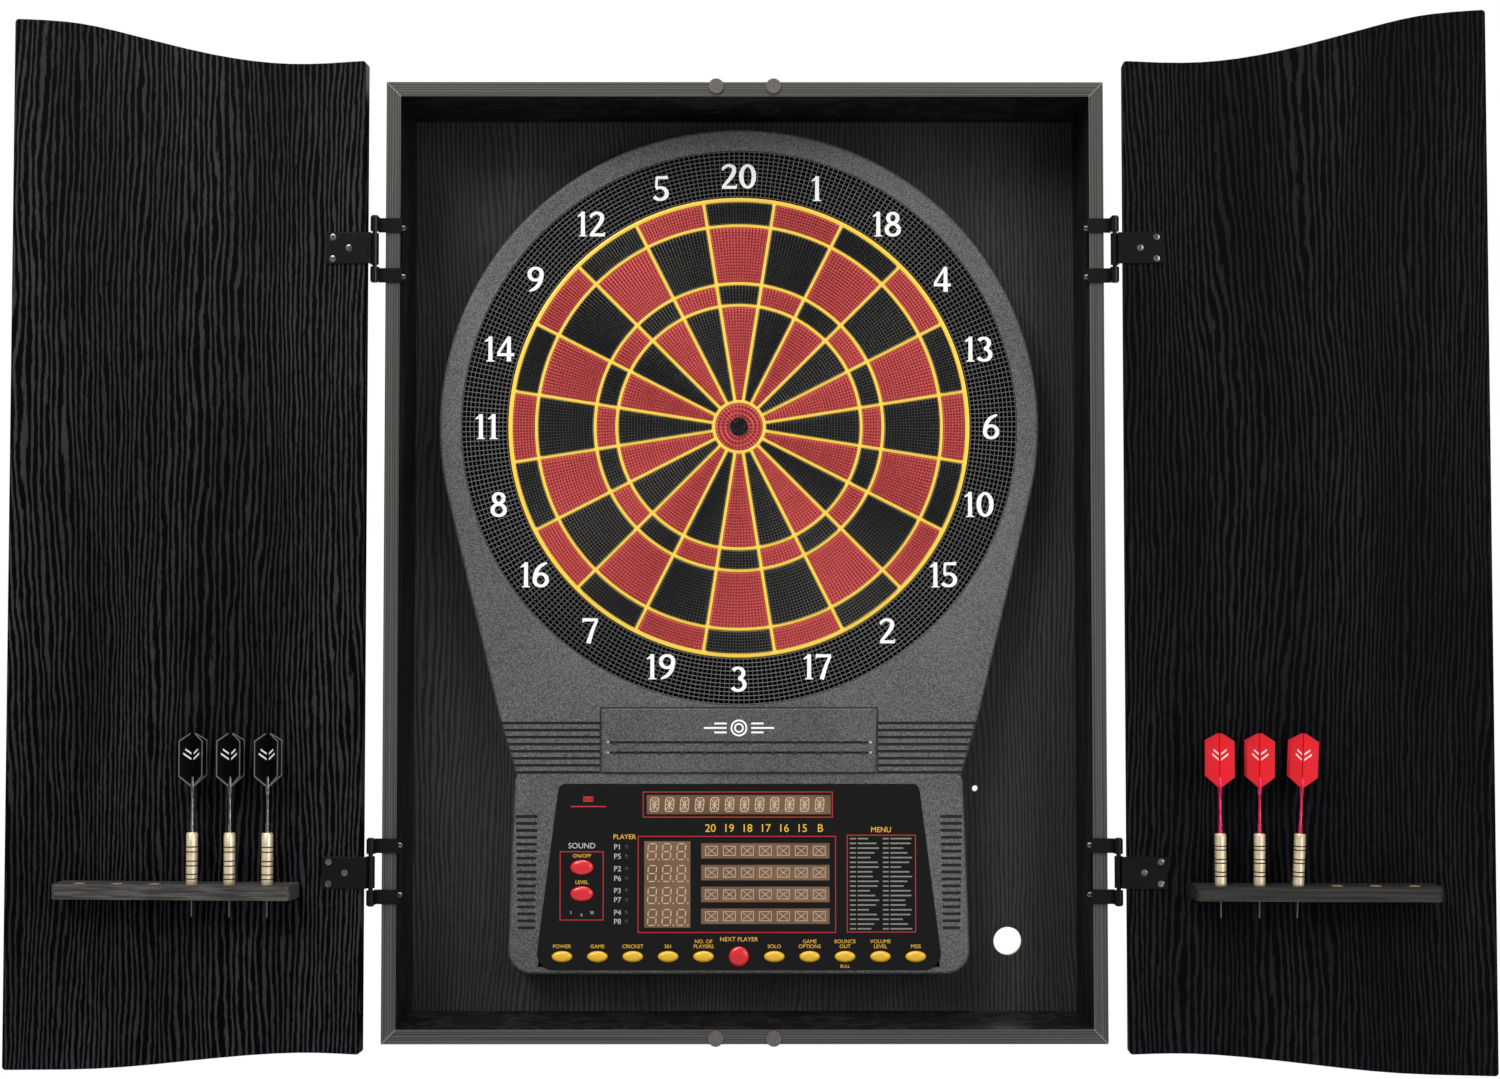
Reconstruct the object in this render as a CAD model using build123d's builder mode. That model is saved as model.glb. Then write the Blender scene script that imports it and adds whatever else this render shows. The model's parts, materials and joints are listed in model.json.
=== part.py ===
"""Wall cabinet for an electronic dart board, with two doors, two dart shelves and six darts.

Millimetres. +Z is up, +X is to the viewer's right and +Y runs into the wall.
The origin is on the wall, at the middle of the cabinet's back.
The doors stand open: the left one a little past flat, the right one just short of it.
"""
import os
from math import acos, atan2, cos, degrees, radians, sin, sqrt, tan

from build123d import *

os.makedirs("parts", exist_ok=True)

# ---------------------------------------------------------------- cabinet
CABINET_W = 600.0
CABINET_H = 800.0
CABINET_D = 108.0
PANEL_T = 12.0
BACK_T = 6.0
FRONT_Y = -CABINET_D
HALF_W = CABINET_W / 2
HALF_H = CABINET_H / 2
STUD_SPACING = 406.4                 # wall studs stand 16 inches apart
WALL_SCREW_Z = 210.0
WALL_SCREW_R = 2.6
HANGER_PILOT_R = 2.0
LOWER_SCREW = (200.3, -196.0)
CABLE_HOLE = (228.0, -328.0)
CABLE_HOLE_R = 12.2
BUMPER_R = 6.4
BUMPER_T = 1.7
BUMPER_X = 24.0
BUMPER_Z = 396.5

# ---------------------------------------------------------------- doors and hinges
DOOR_W = 299.5
DOOR_T = 15.0
DOOR_GAP = 2.0                       # closed door to the cabinet's front edge
PIVOT_X = 308.0
PIVOT_Y = -116.0
EDGE_SETBACK = 7.0                   # pivot to the door's hinge edge
OPEN_SHORT_OF_FLAT = {-1: -4.0, 1: 2.0}   # degrees, left and right door
INNER_T = PIVOT_Y - FRONT_Y + DOOR_GAP    # the door's inner face, across from the pivot
SIDE_NAME = {-1: "left", 1: "right"}
HINGE_Z = 258.0
HINGE_H = 54.0
ARM_H = 12.0
SHEET_T = 1.6
KNUCKLE_R = 3.5
PIN_R = 1.90
CABINET_KNUCKLE_BORE = 1.93
DOOR_KNUCKLE_BORE = 1.96
LEAF_H = 26.0
LEAF_END_U = 39.0
DOOR_SCREWS = [(20.0, 0.0), (33.5, 9.0), (33.5, -9.0)]
SCREW_HEAD_R, SCREW_HEAD_H = 2.9, 1.7
SCREW_SHANK_R, SCREW_LENGTH = 1.5, 9.0
HEAD_PROUD = 0.15                    # countersunk heads stand this far out of the door leaves
SCREW_CLEAR = 0.1

# ---------------------------------------------------------------- dart shelves and darts
SHELF_U = (58.0, 256.0)
SHELF_TOP_Z = -266.0
SHELF_T = 12.0
SHELF_D = 32.0
SHELF_HOLES = 6
HOLE_PITCH = 31.2
HOLE_R = 3.2
SINK_R = 4.9
SINK_DEPTH = 2.4
HOLE_SETBACK = 10.0
SHELF_CORNER_R = 5.0
BARREL_R = 4.7
NOSE_R = 2.6
BARREL_TOP_Z = -224.0
SHAFT_R = 1.9
FLIGHT_LOW_Z = -187.0
FLIGHT_TOP_Z = -143.0
FLIGHT_HALF_W = {1: 15.6, -1: 13.6}   # red set on the right door, black set on the left
FLIGHT_TURN = {1: 38.0, -1: 46.0}     # first vane, round from the door's own direction
FLIGHT_T = 0.8
TIP_R = 0.9
TIP_LOW_Z = -292.5
DART_LEAN = {1: (0.0, 0.6, 2.6), -1: (0.0, 0.0, 0.0)}     # degrees towards the free edge

# ---------------------------------------------------------------- dart board
BOARD_X = -5.0
TARGET_Z = 116.0
BOARD_BACK_Y = -7.0
BOARD_FRONT_Y = -46.0
SHELL_T = 3.0
FRONT_WALL_T = 4.0
RIM_R = 257.4
NECK = (205.0, -132.0)
RIBS_END = (190.0, -183.0)
BASE_TOP = (191.5, -187.0)
BASE_LOW = (196.5, -330.0)
BASE_BOTTOM_Z = -351.5
BASE_CORNER_R = 20.0
CATCH_R = (198.7, 238.8)
CATCH_FRONT_Y = -45.2
CATCH_T = 6.0
OPENING_R = CATCH_R[1]
RING_WALL_T = 3.0
MATRIX_Y = (-26.0, -29.8)
DIVIDER_FRONT_Y = -44.6
DIVIDER_W = 3.3
RING_MIDS = [21.8, 105.0, 123.7, 174.0]
DIVIDER_OUTER = (194.2, 198.4)
SEGMENT_FRONT_Y = -43.6
SEGMENT_BACK_Y = -31.2
SEGMENT_CLEAR = 0.35
WEDGES = 20
INNER_BULL_R = 7.9
NAMEPLATE_Z = (-125.5, -180.0)
NAMEPLATE_HALF_W = (117.8, 116.2)
NAMEPLATE_T = 3.2
TRACKS_Z = [-154.3, -163.0]
RIB_COUNT, RIB_PITCH, RIB_TOP_Z = 8, 6.0, -138.0
VENT_COUNT, VENT_PITCH, VENT_TOP_Z = 17, 5.9, -217.5
VENT_X = (171.5, 190.5)
OVERLAY_Z = (-190.0, -347.4)
OVERLAY_HALF_W = (153.2, 173.4)
OVERLAY_FRONT_Y = -46.8
PANEL_LEDGE = 2.2
OVERLAY_T = 2.2
PCB_Y = (-36.0, -37.6)
DISPLAY_FRONT_Y = -46.5
WINDOW_CLEAR = 0.2
WINDOWS = [(-0.2, -207.3, 157.0, 16.4), (-61.0, -275.0, 39.4, 73.4)]
WINDOWS += [(22.5, -246.5 - 18.5 * row, 109.4, 13.2) for row in range(4)]
BUTTON_FRONT_Y = -49.0
BUTTON_BACK_Y = -39.4
BUTTON_CLEAR = 0.35
OVAL = (8.8, 4.8)
WIDE_OVAL = (10.0, 6.5)
ROUND_R = 8.7
BUTTON_ROW_Z = -336.2
BUTTON_PITCH = 30.1
ROW_NAMES = ["power", "game", "cricket", "double_in", "players", "next_player",
             "solo_play", "options", "bounce_out", "volume", "miss"]
SOUND_BUTTONS = {"sound_on": (-133.8, -260.6), "sound_level": (-133.8, -283.0)}
BOSSES = [(0.0, TARGET_Z + 248.0), (178.0, -196.0), (-178.0, -196.0), (183.0, -333.0), (-183.0, -333.0)]
BOSSES += [(248.0 * cos(radians(a)), TARGET_Z + 248.0 * sin(radians(a))) for a in (30, 150)]
HANGER_X, HANGER_Z = 120.0, 215.0
PCB_POSTS = [(138.0, -206.0), (-138.0, -206.0), (155.0, -330.0), (-155.0, -330.0)]
PCB_POST_R = 3.0


def facing(y, x=0.0, z=0.0):
    """Plane across the cabinet at depth y: x to the right, y up, normal towards the viewer."""
    return Plane(origin=(x, y, z), x_dir=(1, 0, 0), z_dir=(0, -1, 0))


def board(y, z=0.0):
    """The same plane with its origin on the dart board's own centre line."""
    return facing(y, BOARD_X, z)


def door_frame(side):
    """Frame on a door's pivot: x along the open door, z up. side is -1 on the left, 1 on the right."""
    turn = radians(OPEN_SHORT_OF_FLAT[side])
    along = (side * cos(turn), -sin(turn), 0)
    return Plane(origin=(side * PIVOT_X, PIVOT_Y, 0), x_dir=along, z_dir=(0, 0, 1))


def door_plane(side, t):
    """Upright plane along a door, t millimetres from the pivot towards the wall."""
    frame = door_frame(side)
    origin = frame.origin + frame.y_dir * (side * t)
    return Plane(origin=origin, x_dir=frame.x_dir, z_dir=frame.x_dir.cross(Vector(0, 0, 1)))


def block(low, high, mode=Mode.ADD):
    """Box between two corners."""
    centre = tuple((a + b) / 2 for a, b in zip(low, high))
    size = [abs(b - a) for a, b in zip(low, high)]
    with Locations(centre):
        Box(*size, mode=mode)


def keep(piece, name):
    """Label a finished piece and write its STEP file."""
    piece.part.label = name
    export_step(piece.part, f"parts/{name}.step")


# ================================================================ cabinet carcass
def mitred_panel(name, outer, inner, screw_holes=()):
    """Frame board with 45 degree ends; outer and inner are its long edges, end to end."""
    with BuildPart() as panel:
        with BuildSketch(facing(0)):
            with BuildLine():
                Polyline(outer[0], outer[1], inner[1], inner[0], close=True)
            make_face()
        extrude(amount=CABINET_D)
        for x, y, z in screw_holes:
            with Locations((x, y, z)):
                Cylinder(SCREW_SHANK_R + SCREW_CLEAR, 20, rotation=(0, 90, 0), mode=Mode.SUBTRACT)
    keep(panel, name)


INNER_X, INNER_Z = HALF_W - PANEL_T, HALF_H - PANEL_T
BRACKET_SCREW_Y = FRONT_Y + 11.0
BRACKET_SCREW_RISE = 20.5


def bracket_screws(side):
    """Centres of the hinge screws' blind holes in one side panel."""
    x = side * (INNER_X + 1.0)
    rises = (BRACKET_SCREW_RISE, -BRACKET_SCREW_RISE)
    return [(x, BRACKET_SCREW_Y, z + r) for z in (HINGE_Z, -HINGE_Z) for r in rises]


for name, up in (("top_panel", 1), ("bottom_panel", -1)):
    mitred_panel(name, [(-HALF_W, up * HALF_H), (HALF_W, up * HALF_H)],
                 [(-INNER_X, up * INNER_Z), (INNER_X, up * INNER_Z)])
for side in (-1, 1):
    mitred_panel(f"{SIDE_NAME[side]}_side_panel",
                 [(side * HALF_W, -HALF_H), (side * HALF_W, HALF_H)],
                 [(side * INNER_X, -INNER_Z), (side * INNER_X, INNER_Z)],
                 bracket_screws(side))

with BuildPart() as back_panel:
    with BuildSketch(facing(0)):
        Rectangle(2 * INNER_X, 2 * INNER_Z)
        with Locations(CABLE_HOLE):
            Circle(CABLE_HOLE_R, mode=Mode.SUBTRACT)
        with Locations((STUD_SPACING / 2, WALL_SCREW_Z), (-STUD_SPACING / 2, WALL_SCREW_Z), LOWER_SCREW):
            Circle(WALL_SCREW_R, mode=Mode.SUBTRACT)
        with Locations((BOARD_X + HANGER_X, HANGER_Z), (BOARD_X - HANGER_X, HANGER_Z)):
            Circle(HANGER_PILOT_R, mode=Mode.SUBTRACT)
    extrude(amount=BACK_T)
keep(back_panel, "back_panel")

with BuildPart() as door_bumpers:
    with BuildSketch(facing(FRONT_Y)):
        with Locations(*[(x, z) for x in (-BUMPER_X, BUMPER_X) for z in (-BUMPER_Z + 1.0, BUMPER_Z)]):
            Circle(BUMPER_R)
    extrude(amount=BUMPER_T)
    fillet(door_bumpers.edges().filter_by(GeomType.CIRCLE).group_by(Axis.Y)[0], 0.5)
keep(door_bumpers, "door_bumpers")

# ================================================================ hinges, cabinet side
ARM_FRONT = FRONT_Y - SHEET_T
ARM_BACK_Y = FRONT_Y + 17.0
for side in (-1, 1):
    with BuildPart() as brackets:
        for zc in (HINGE_Z, -HINGE_Z):
            for end in (1, -1):
                low, high = zc + end * (HINGE_H / 2 - ARM_H), zc + end * HINGE_H / 2
                web = side * (PIVOT_X - KNUCKLE_R)
                block((web, PIVOT_Y, low), (web + side * SHEET_T, FRONT_Y, high))
                block((web + side * SHEET_T, ARM_FRONT, low),
                      (side * (INNER_X - SHEET_T), FRONT_Y, high))
                block((side * INNER_X, ARM_FRONT, low),
                      (side * (INNER_X - SHEET_T), ARM_BACK_Y, high))
                with Locations((side * PIVOT_X, PIVOT_Y, (low + high) / 2)):
                    Cylinder(KNUCKLE_R, ARM_H)
                    Cylinder(CABINET_KNUCKLE_BORE, ARM_H, mode=Mode.SUBTRACT)
            block((side * INNER_X, ARM_BACK_Y - 9, zc - HINGE_H / 2),
                  (side * (INNER_X - SHEET_T), ARM_BACK_Y, zc + HINGE_H / 2))
        with Locations(*bracket_screws(side)):
            Cylinder(SCREW_SHANK_R + SCREW_CLEAR, 20, rotation=(0, 90, 0), mode=Mode.SUBTRACT)
    keep(brackets, f"{SIDE_NAME[side]}_hinge_brackets")

with BuildPart() as hinge_pins:
    for side in (-1, 1):
        for zc in (HINGE_Z, -HINGE_Z):
            with Locations((side * PIVOT_X, PIVOT_Y, zc)):
                Cylinder(PIN_R, HINGE_H)
            for end in (1, -1):
                with Locations((side * PIVOT_X, PIVOT_Y, zc + end * (HINGE_H / 2 + 0.5))):
                    Cylinder(2.6, 1.0)
keep(hinge_pins, "hinge_pins")

with BuildPart() as cabinet_hinge_screws:
    for side in (-1, 1):
        face = side * (INNER_X - SHEET_T)
        for _, y, z in bracket_screws(side):
            with Locations((face + side * SCREW_LENGTH / 2, y, z)):
                Cylinder(SCREW_SHANK_R, SCREW_LENGTH, rotation=(0, 90, 0))
            with Locations((face - side * SCREW_HEAD_H / 2, y, z)):
                Cylinder(SCREW_HEAD_R, SCREW_HEAD_H, rotation=(0, 90, 0))
keep(cabinet_hinge_screws, "cabinet_hinge_screws")

# ================================================================ doors
U0 = EDGE_SETBACK
U1 = EDGE_SETBACK + DOOR_W
TOP_CURVE = [(U0, 415.0), (U0 + 62, 413.3), (U0 + 155, 428.3), (U0 + 232, 448.3), (U1, 455.5)]
BOTTOM_CURVE = [(U1, -422.3), (U0 + 215, -420.0), (U0 + 150, -413.8), (U0 + 42, -405.2), (U0, -406.4)]
DOOR_CORNER_R = 3.0
DOOR_EDGE_CHAMFER = 1.0
SCREW_HOLE_DEPTH = 11.0
SHELF_MIDDLE_U = (SHELF_U[0] + SHELF_U[1]) / 2
HOLES_U = [SHELF_MIDDLE_U + HOLE_PITCH * (i - (SHELF_HOLES - 1) / 2) for i in range(SHELF_HOLES)]
LEAF_T = INNER_T - SHEET_T
SHELF_FRONT_T = INNER_T - SHELF_D
HOLE_T = SHELF_FRONT_T + HOLE_SETBACK


def door_pieces(side):
    """Door panel, hinge leaves, screws and dart shelf of one door."""
    prefix = SIDE_NAME[side]
    screws = [(u, zc + dz) for zc in (HINGE_Z, -HINGE_Z) for u, dz in DOOR_SCREWS]

    with BuildPart() as panel:
        with BuildSketch(door_plane(side, INNER_T)) as outline:
            with BuildLine():
                Spline(*TOP_CURVE, tangents=[(1, -0.06), (1, 0.05)])
                Line(TOP_CURVE[-1], BOTTOM_CURVE[0])
                Spline(*BOTTOM_CURVE, tangents=[(-1, 0.02), (-1, -0.04)])
                Line(BOTTOM_CURVE[-1], TOP_CURVE[0])
            make_face()
            fillet(outline.vertices(), DOOR_CORNER_R)
        extrude(amount=-side * DOOR_T)
        broad_faces = panel.faces().sort_by(SortBy.AREA)[-2:]
        chamfer(broad_faces.edges(), DOOR_EDGE_CHAMFER)
        with BuildSketch(door_plane(side, INNER_T)):
            with Locations(*screws):
                Circle(SCREW_SHANK_R + SCREW_CLEAR)
        extrude(amount=-side * SCREW_HOLE_DEPTH, mode=Mode.SUBTRACT)
    keep(panel, f"{prefix}_door_panel")

    with BuildPart(door_frame(side)) as leaves:
        for zc in (HINGE_Z, -HINGE_Z):
            low, high = zc - LEAF_H / 2, zc + LEAF_H / 2
            block((KNUCKLE_R - SHEET_T, side * LEAF_T, low), (LEAF_END_U, side * INNER_T, high))
            block((KNUCKLE_R - SHEET_T, side * INNER_T, low), (KNUCKLE_R, 0, high))
            with Locations((0, 0, zc)):
                Cylinder(KNUCKLE_R, LEAF_H)
                Cylinder(DOOR_KNUCKLE_BORE, LEAF_H, mode=Mode.SUBTRACT)
            with Locations(*[(u, side * INNER_T, zc + dz) for u, dz in DOOR_SCREWS]):
                Cylinder(SCREW_HEAD_R + SCREW_CLEAR, 6, rotation=(90, 0, 0), mode=Mode.SUBTRACT)
    keep(leaves, f"{prefix}_door_leaves")

    with BuildPart(door_frame(side)) as door_screws:
        for u, z in screws:
            with Locations((u, side * (INNER_T + SCREW_LENGTH / 2), z)):
                Cylinder(SCREW_SHANK_R, SCREW_LENGTH, rotation=(90, 0, 0))
            with Locations((u, side * (LEAF_T - HEAD_PROUD + INNER_T) / 2, z)):
                Cylinder(SCREW_HEAD_R, SHEET_T + HEAD_PROUD, rotation=(90, 0, 0))
    keep(door_screws, f"{prefix}_door_screws")

    hole_centres = [(u, side * HOLE_T) for u in HOLES_U]
    with BuildPart(door_frame(side)) as shelf:
        block((SHELF_U[0], side * SHELF_FRONT_T, SHELF_TOP_Z - SHELF_T),
              (SHELF_U[1], side * INNER_T, SHELF_TOP_Z))
        fillet(shelf.edges().filter_by(Axis.Z).sort_by(Axis.Y)[:2], SHELF_CORNER_R)
        with Locations(*[(u, t, SHELF_TOP_Z) for u, t in hole_centres]):
            Cylinder(HOLE_R, 3 * SHELF_T, mode=Mode.SUBTRACT)
        with Locations(*[(u, t, SHELF_TOP_Z - SINK_DEPTH / 2) for u, t in hole_centres]):
            Cone(HOLE_R, SINK_R, SINK_DEPTH, mode=Mode.SUBTRACT)
    keep(shelf, f"{prefix}_dart_shelf")


for side in (-1, 1):
    door_pieces(side)

# ================================================================ darts
TIP_SHOULDER_Z = -271.0
BARREL_LOW_Z = -268.8
NOSE_H = 3.6
SHAFT_TOP_Z = FLIGHT_TOP_Z - 8.0


def dart(side, number, name, u, lean):
    """One soft-tip dart standing in a shelf hole: barrel with tip, and shaft with flight."""
    frame = door_frame(side)
    stand = Plane(frame.location * Location((u, side * HOLE_T, SHELF_TOP_Z), (0, lean, 0)))
    drop = SHELF_TOP_Z                            # heights below are measured from the shelf top
    half_w = FLIGHT_HALF_W[side]
    vane_outline = [(0.0, FLIGHT_LOW_Z), (SHAFT_R, FLIGHT_LOW_Z), (half_w, FLIGHT_LOW_Z + 9),
                    (half_w, FLIGHT_TOP_Z - 6), (2.5, FLIGHT_TOP_Z), (0.0, FLIGHT_TOP_Z)]

    with BuildPart(stand) as barrel:
        with Locations((0, 0, (BARREL_TOP_Z + BARREL_LOW_Z + NOSE_H) / 2 - drop)):
            Cylinder(BARREL_R, BARREL_TOP_Z - BARREL_LOW_Z - NOSE_H)
        with Locations((0, 0, BARREL_LOW_Z + NOSE_H / 2 - drop)):
            Cone(NOSE_R, BARREL_R, NOSE_H)
        with Locations((0, 0, (BARREL_LOW_Z + TIP_SHOULDER_Z) / 2 - drop)):
            Cylinder(NOSE_R - 0.5, BARREL_LOW_Z - TIP_SHOULDER_Z)
        with Locations((0, 0, (TIP_SHOULDER_Z + TIP_LOW_Z) / 2 - drop)):
            Cone(TIP_R * 0.6, TIP_R, TIP_SHOULDER_Z - TIP_LOW_Z)
    keep(barrel, f"{name}_dart_{number}_barrel")

    with BuildPart(stand) as tail:
        with Locations((0, 0, (BARREL_TOP_Z + SHAFT_TOP_Z) / 2 - drop)):
            Cylinder(SHAFT_R, SHAFT_TOP_Z - BARREL_TOP_Z)
        for quarter in range(4):
            turn = Location((0, 0, 0), (0, 0, FLIGHT_TURN[side] + 90 * quarter))
            vane = Plane(stand.location * turn * Location((0, 0, 0), (90, 0, 0)))
            with BuildSketch(vane.offset(-FLIGHT_T / 2)):
                Polygon(*[(x, z - drop) for x, z in vane_outline], align=None)
            extrude(amount=FLIGHT_T)
    keep(tail, f"{name}_dart_{number}_flight")


for number in range(3):
    dart(1, number + 1, "red", HOLES_U[number], DART_LEAN[1][number])
    dart(-1, number + 1, "black", HOLES_U[number], DART_LEAN[-1][number])

# ================================================================ dart board shell
def half_outline():
    """Right-hand side of the board's outline, below its round head, top to bottom."""
    reach = sqrt(NECK[0] ** 2 + (NECK[1] - TARGET_Z) ** 2)
    angle = atan2(NECK[1] - TARGET_Z, NECK[0]) + acos(RIM_R / reach)
    leave = (RIM_R * cos(angle), TARGET_Z + RIM_R * sin(angle))
    return degrees(angle), [leave, NECK, RIBS_END, BASE_TOP, BASE_LOW, (BASE_LOW[0], BASE_BOTTOM_Z)]


def board_outline():
    """Round head running down tangent lines to the neck, and the wider base under it."""
    angle, right = half_outline()
    left = [(-x, z) for x, z in reversed(right)]
    with BuildLine() as edge:
        CenterArc((0, TARGET_Z), RIM_R, angle, 180 - 2 * angle)
        Polyline(*left)
        Line(left[0], right[-1])
        Polyline(*right)
    make_face(edge.edges())


def panel_outline(grow=0.0):
    """Control panel's outline: wider at the foot."""
    top, low = OVERLAY_Z[0] + grow, OVERLAY_Z[1] - grow
    upper, lower = OVERLAY_HALF_W[0] + grow, OVERLAY_HALF_W[1] + grow
    Polygon((-upper, top), (upper, top), (lower, low), (-lower, low), align=None)


CAVITY_FRONT_Y = BOARD_FRONT_Y + FRONT_WALL_T
COVER_T = 3.0
COVER_FRONT_Y = BOARD_BACK_Y - COVER_T

with BuildPart() as board_bezel:
    with BuildSketch(board(BOARD_BACK_Y)) as skin:
        board_outline()
        fillet(skin.vertices().group_by(Axis.Y)[0], BASE_CORNER_R)
    extrude(amount=BOARD_BACK_Y - BOARD_FRONT_Y)
    front_edges = board_bezel.faces().sort_by(Axis.Y)[0].edges()
    fillet(front_edges, 3.0)
    with BuildSketch(board(BOARD_BACK_Y)) as cavity:
        board_outline()
        fillet(cavity.vertices().group_by(Axis.Y)[0], BASE_CORNER_R)
        offset(amount=-SHELL_T, kind=Kind.INTERSECTION)
    extrude(amount=BOARD_BACK_Y - CAVITY_FRONT_Y, mode=Mode.SUBTRACT)
    with BuildSketch(board(CAVITY_FRONT_Y)):
        with Locations((0, TARGET_Z)):
            Circle(OPENING_R + RING_WALL_T)
            Circle(OPENING_R, mode=Mode.SUBTRACT)
    extrude(amount=-26.0)
    with BuildSketch(board(COVER_FRONT_Y)):
        with Locations(*BOSSES):
            Circle(4.0)
            Circle(1.4, mode=Mode.SUBTRACT)
    extrude(amount=COVER_FRONT_Y - CAVITY_FRONT_Y)
    with BuildSketch(board(BOARD_FRONT_Y)):
        with Locations((0, TARGET_Z)):
            Circle(OPENING_R)
    extrude(amount=-FRONT_WALL_T, mode=Mode.SUBTRACT)
    with BuildSketch(board(BOARD_FRONT_Y)) as recess:
        panel_outline(0.3)
        fillet(recess.vertices().group_by(Axis.Y)[-1], 6.0)
        fillet(recess.vertices().group_by(Axis.Y)[0], 14.0)
    extrude(amount=-1.4, mode=Mode.SUBTRACT)
    with BuildSketch(board(BOARD_FRONT_Y)):
        panel_outline(-PANEL_LEDGE)
    extrude(amount=-FRONT_WALL_T, mode=Mode.SUBTRACT)
    groove_end = NECK[0] + 8
    groove_start = NAMEPLATE_HALF_W[0] + 1.2
    with BuildSketch(board(BOARD_FRONT_Y)):
        for s in (-1, 1):
            for i in range(RIB_COUNT):
                with Locations((s * (groove_start + groove_end) / 2, RIB_TOP_Z - i * RIB_PITCH)):
                    Rectangle(groove_end - groove_start, 2.4)
            for i in range(VENT_COUNT):
                with Locations((s * (VENT_X[0] + VENT_X[1]) / 2, VENT_TOP_Z - i * VENT_PITCH)):
                    SlotOverall(VENT_X[1] - VENT_X[0] - i * 0.25, 2.6)
    extrude(amount=-1.3, mode=Mode.SUBTRACT)
    with Locations((BOARD_X + BASE_LOW[0], -24.0, -306.0)):
        Cylinder(4.6, 20, rotation=(0, 90, 0), mode=Mode.SUBTRACT)
keep(board_bezel, "board_bezel")

with BuildPart() as board_rear_cover:
    with BuildSketch(board(BOARD_BACK_Y)) as cover:
        board_outline()
        fillet(cover.vertices().group_by(Axis.Y)[0], BASE_CORNER_R)
        offset(amount=-SHELL_T - 0.3, kind=Kind.INTERSECTION)
        with Locations(*BOSSES):
            Circle(1.7, mode=Mode.SUBTRACT)
        with Locations((HANGER_X, HANGER_Z - 8), (-HANGER_X, HANGER_Z - 8)):
            Circle(4.6, mode=Mode.SUBTRACT)
        with Locations((HANGER_X, HANGER_Z - 4), (-HANGER_X, HANGER_Z - 4)):
            Rectangle(4.6, 12.6, mode=Mode.SUBTRACT)
    extrude(amount=COVER_T)
    with BuildSketch(board(BOARD_BACK_Y)):
        with Locations(*BOSSES):
            Circle(3.4)
    extrude(amount=1.5, mode=Mode.SUBTRACT)
    with BuildSketch(board(COVER_FRONT_Y)):
        with Locations((0, TARGET_Z)):
            for r in (60.0, 188.0):
                Circle(r)
                Circle(r - 3.0, mode=Mode.SUBTRACT)
    extrude(amount=COVER_FRONT_Y - MATRIX_Y[0])
    with BuildSketch(board(COVER_FRONT_Y)):
        with Locations(*PCB_POSTS):
            Circle(PCB_POST_R)
    extrude(amount=COVER_FRONT_Y - PCB_Y[0])
keep(board_rear_cover, "board_rear_cover")

COVER_SCREW_Y = BOARD_BACK_Y - 1.5
with BuildPart() as cover_screws:
    with BuildSketch(board(BOARD_BACK_Y)):
        with Locations(*BOSSES):
            Circle(3.0)
    extrude(amount=1.5)
    with BuildSketch(board(COVER_SCREW_Y)):
        with Locations(*BOSSES):
            Circle(1.3)
    extrude(amount=14.0)
keep(cover_screws, "rear_cover_screws")

with BuildPart() as hanging_screws:
    with BuildSketch(board(0)):
        with Locations((HANGER_X, HANGER_Z), (-HANGER_X, HANGER_Z)):
            Circle(1.9)
    extrude(amount=13.0)
    with BuildSketch(board(-10.4)):
        with Locations((HANGER_X, HANGER_Z), (-HANGER_X, HANGER_Z)):
            Circle(3.8)
    extrude(amount=2.6)
keep(hanging_screws, "board_hanging_screws")

# ================================================================ target
with BuildPart() as sensor_matrix:
    with BuildSketch(board(MATRIX_Y[0])):
        with Locations((0, TARGET_Z)):
            Circle(DIVIDER_OUTER[1])
    extrude(amount=MATRIX_Y[0] - MATRIX_Y[1])
keep(sensor_matrix, "sensor_matrix")

with BuildPart() as catch_ring:
    with BuildSketch(board(CATCH_FRONT_Y)):
        with Locations((0, TARGET_Z)):
            Circle(CATCH_R[1])
            Circle(CATCH_R[0], mode=Mode.SUBTRACT)
    extrude(amount=-CATCH_T)
keep(catch_ring, "catch_ring")

HALF_BAR = DIVIDER_W / 2
SPOKE_IN = RING_MIDS[0] + HALF_BAR - 0.5
SPOKE_OUT = DIVIDER_OUTER[0] + 0.5
WEDGE_ANGLE = 360 / WEDGES
with BuildPart() as segment_divider:
    with BuildSketch(board(MATRIX_Y[1], TARGET_Z)):
        Circle(DIVIDER_OUTER[1])
        Circle(DIVIDER_OUTER[0], mode=Mode.SUBTRACT)
        for mid in RING_MIDS:
            with BuildSketch(mode=Mode.ADD):
                Circle(mid + HALF_BAR)
                Circle(mid - HALF_BAR, mode=Mode.SUBTRACT)
        with PolarLocations((SPOKE_IN + SPOKE_OUT) / 2, WEDGES, start_angle=WEDGE_ANGLE / 2):
            Rectangle(SPOKE_OUT - SPOKE_IN, DIVIDER_W)
    extrude(amount=MATRIX_Y[1] - DIVIDER_FRONT_Y)
keep(segment_divider, "segment_divider")

# bands between the divider's rings: single, treble, single, double, from the bull outwards
RING_EDGES = [RING_MIDS[0]] + RING_MIDS[1:] + [DIVIDER_OUTER[0] + HALF_BAR]
BANDS = list(zip(RING_EDGES[:-1], RING_EDGES[1:]))
SINGLE_BANDS = (0, 2)
WEDGE_TAN = tan(radians(WEDGE_ANGLE / 2))


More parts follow.
